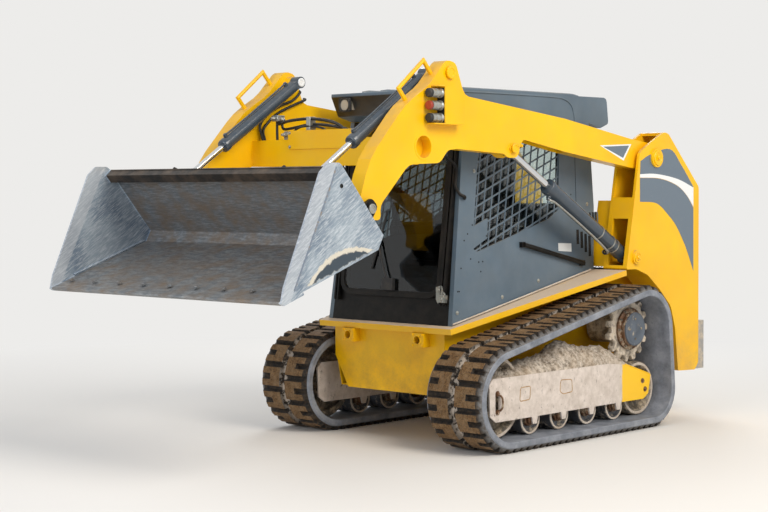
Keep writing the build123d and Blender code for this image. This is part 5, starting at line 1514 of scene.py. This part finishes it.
class LOADER_OT_stage(bpy.types.Operator):
    """Set the camera, lights, floor and backdrop."""

    bl_idname = "loader.stage"
    bl_label = "Stage"

    def execute(self, context):
        scene = context.scene
        a, e, r = np.radians([AZIMUTH, ELEVATION, ROLL])
        back = np.array([np.sin(a) * np.cos(e), -np.cos(a) * np.cos(e), np.sin(e)])
        right = np.cross(-back, [0, 0, 1])
        right /= np.linalg.norm(right)
        up = np.cross(right, -back)
        across = np.cos(r) * right + np.sin(r) * up
        upward = -np.sin(r) * right + np.cos(r) * up
        data = bpy.data.cameras.new("camera")
        data.lens, data.sensor_width = LENS_MM, SENSOR_MM
        data.clip_end = 100.0
        camera = bpy.data.objects.new("camera", data)
        scene.collection.objects.link(camera)
        matrix = Matrix((across, upward, back)).transposed().to_4x4()
        matrix.translation = Vector(CAMERA_AT)
        camera.matrix_world = matrix
        scene.camera = camera

        floor = bpy.data.objects.new("floor", bpy.data.meshes.new("floor"))
        corners = [(*corner, 0) for corner in oblong(-FLOOR_HALF, FLOOR_HALF, -FLOOR_HALF, FLOOR_HALF)]
        floor.data.from_pydata(corners, [], [(0, 1, 2, 3)])
        scene.collection.objects.link(floor)
        material, tree, where = finish_of("studio_floor", FLOOR, 0.9)
        away = node(tree, "VectorMath", [where], "Value", operation="LENGTH")
        faded = node(tree, "MapRange", [away, FADE_FROM, FADE_TO])
        plain = tree.nodes["Principled BSDF"].outputs[0]
        mixed = node(tree, "MixShader", [faded, plain, node(tree, "Emission", [BACKDROP, 1.0])])
        tree.links.new(mixed, tree.nodes["Material Output"].inputs["Surface"])
        floor.data.materials.append(material)

        world = bpy.data.worlds.new("studio")
        world.use_nodes = True
        tree = world.node_tree
        tree.nodes.remove(tree.nodes["Background"])
        camera_ray, glossy_ray, clear_ray = (node(tree, "LightPath", (), "Is %s Ray" % kind)
                                             for kind in ("Camera", "Glossy", "Transmission"))
        indirect = node(tree, "Math", [glossy_ray, clear_ray], **GREATER)
        seen = node(tree, "Math", [camera_ray, indirect], **GREATER)
        daylight = node(tree, "Background", [DAYLIGHT, 0.55])
        both = node(tree, "MixShader", [seen, daylight, node(tree, "Background", [BACKDROP, 1.0])])
        tree.links.new(both, tree.nodes["World Output"].inputs["Surface"])
        scene.world = world

        # name, place, what it looks at, size, power, warmth
        for name, place, target, size, power, tint in (
                ("key", (7.5, -1.0, 6.5), (0.2, -0.2, 1.0), 4.5, 620.0, "FFF6EA"),
                ("front", (1.5, -9.0, 4.5), (0.0, -0.6, 1.0), 4.5, 330.0, "F4F7FF"),
                ("rear", (-5.0, 6.5, 5.0), (0.0, 0.3, 1.0), 4.0, 300.0, "FFFFFF")):
            light = bpy.data.lights.new(name, "AREA")
            light.size, light.energy, light.color = size, power, linear(tint)[:3]
            lamp = bpy.data.objects.new(name, light)
            lamp.location = place
            lamp.rotation_euler = (Vector(target) - Vector(place)).to_track_quat("-Z", "Y").to_euler()
            scene.collection.objects.link(lamp)
        scene.view_settings.view_transform = "Standard"
        return {"FINISHED"}


class LOADER_PT_panel(bpy.types.Panel):
    """The loader's steps in the sidebar."""

    bl_label = "Loader"
    bl_idname = "LOADER_PT_panel"
    bl_space_type = "VIEW_3D"
    bl_region_type = "UI"
    bl_category = "Loader"

    def draw(self, context):
        for step in STEPS:
            self.layout.operator(step.bl_idname)


STEPS = [LOADER_OT_finishes, LOADER_OT_guards, LOADER_OT_cab_fittings, LOADER_OT_roof, LOADER_OT_stripes,
         LOADER_OT_arm_fittings, LOADER_OT_cylinders, LOADER_OT_running_gear, LOADER_OT_bucket_fittings,
         LOADER_OT_body_fittings, LOADER_OT_seat, LOADER_OT_stage]
GROUPS = [LoaderColours, LoaderSizes]


def register():
    for item in GROUPS + STEPS + [LOADER_PT_panel]:
        bpy.utils.register_class(item)
    bpy.types.Scene.loader_colours = bpy.props.PointerProperty(type=LoaderColours)
    bpy.types.Scene.loader_sizes = bpy.props.PointerProperty(type=LoaderSizes)


def unregister():
    del bpy.types.Scene.loader_colours
    del bpy.types.Scene.loader_sizes
    for item in reversed(GROUPS + STEPS + [LOADER_PT_panel]):
        bpy.utils.unregister_class(item)


def main():
    register()
    for step in STEPS:
        group, name = step.bl_idname.split(".")
        getattr(getattr(bpy.ops, group), name)()


if __name__ == "__main__":
    main()
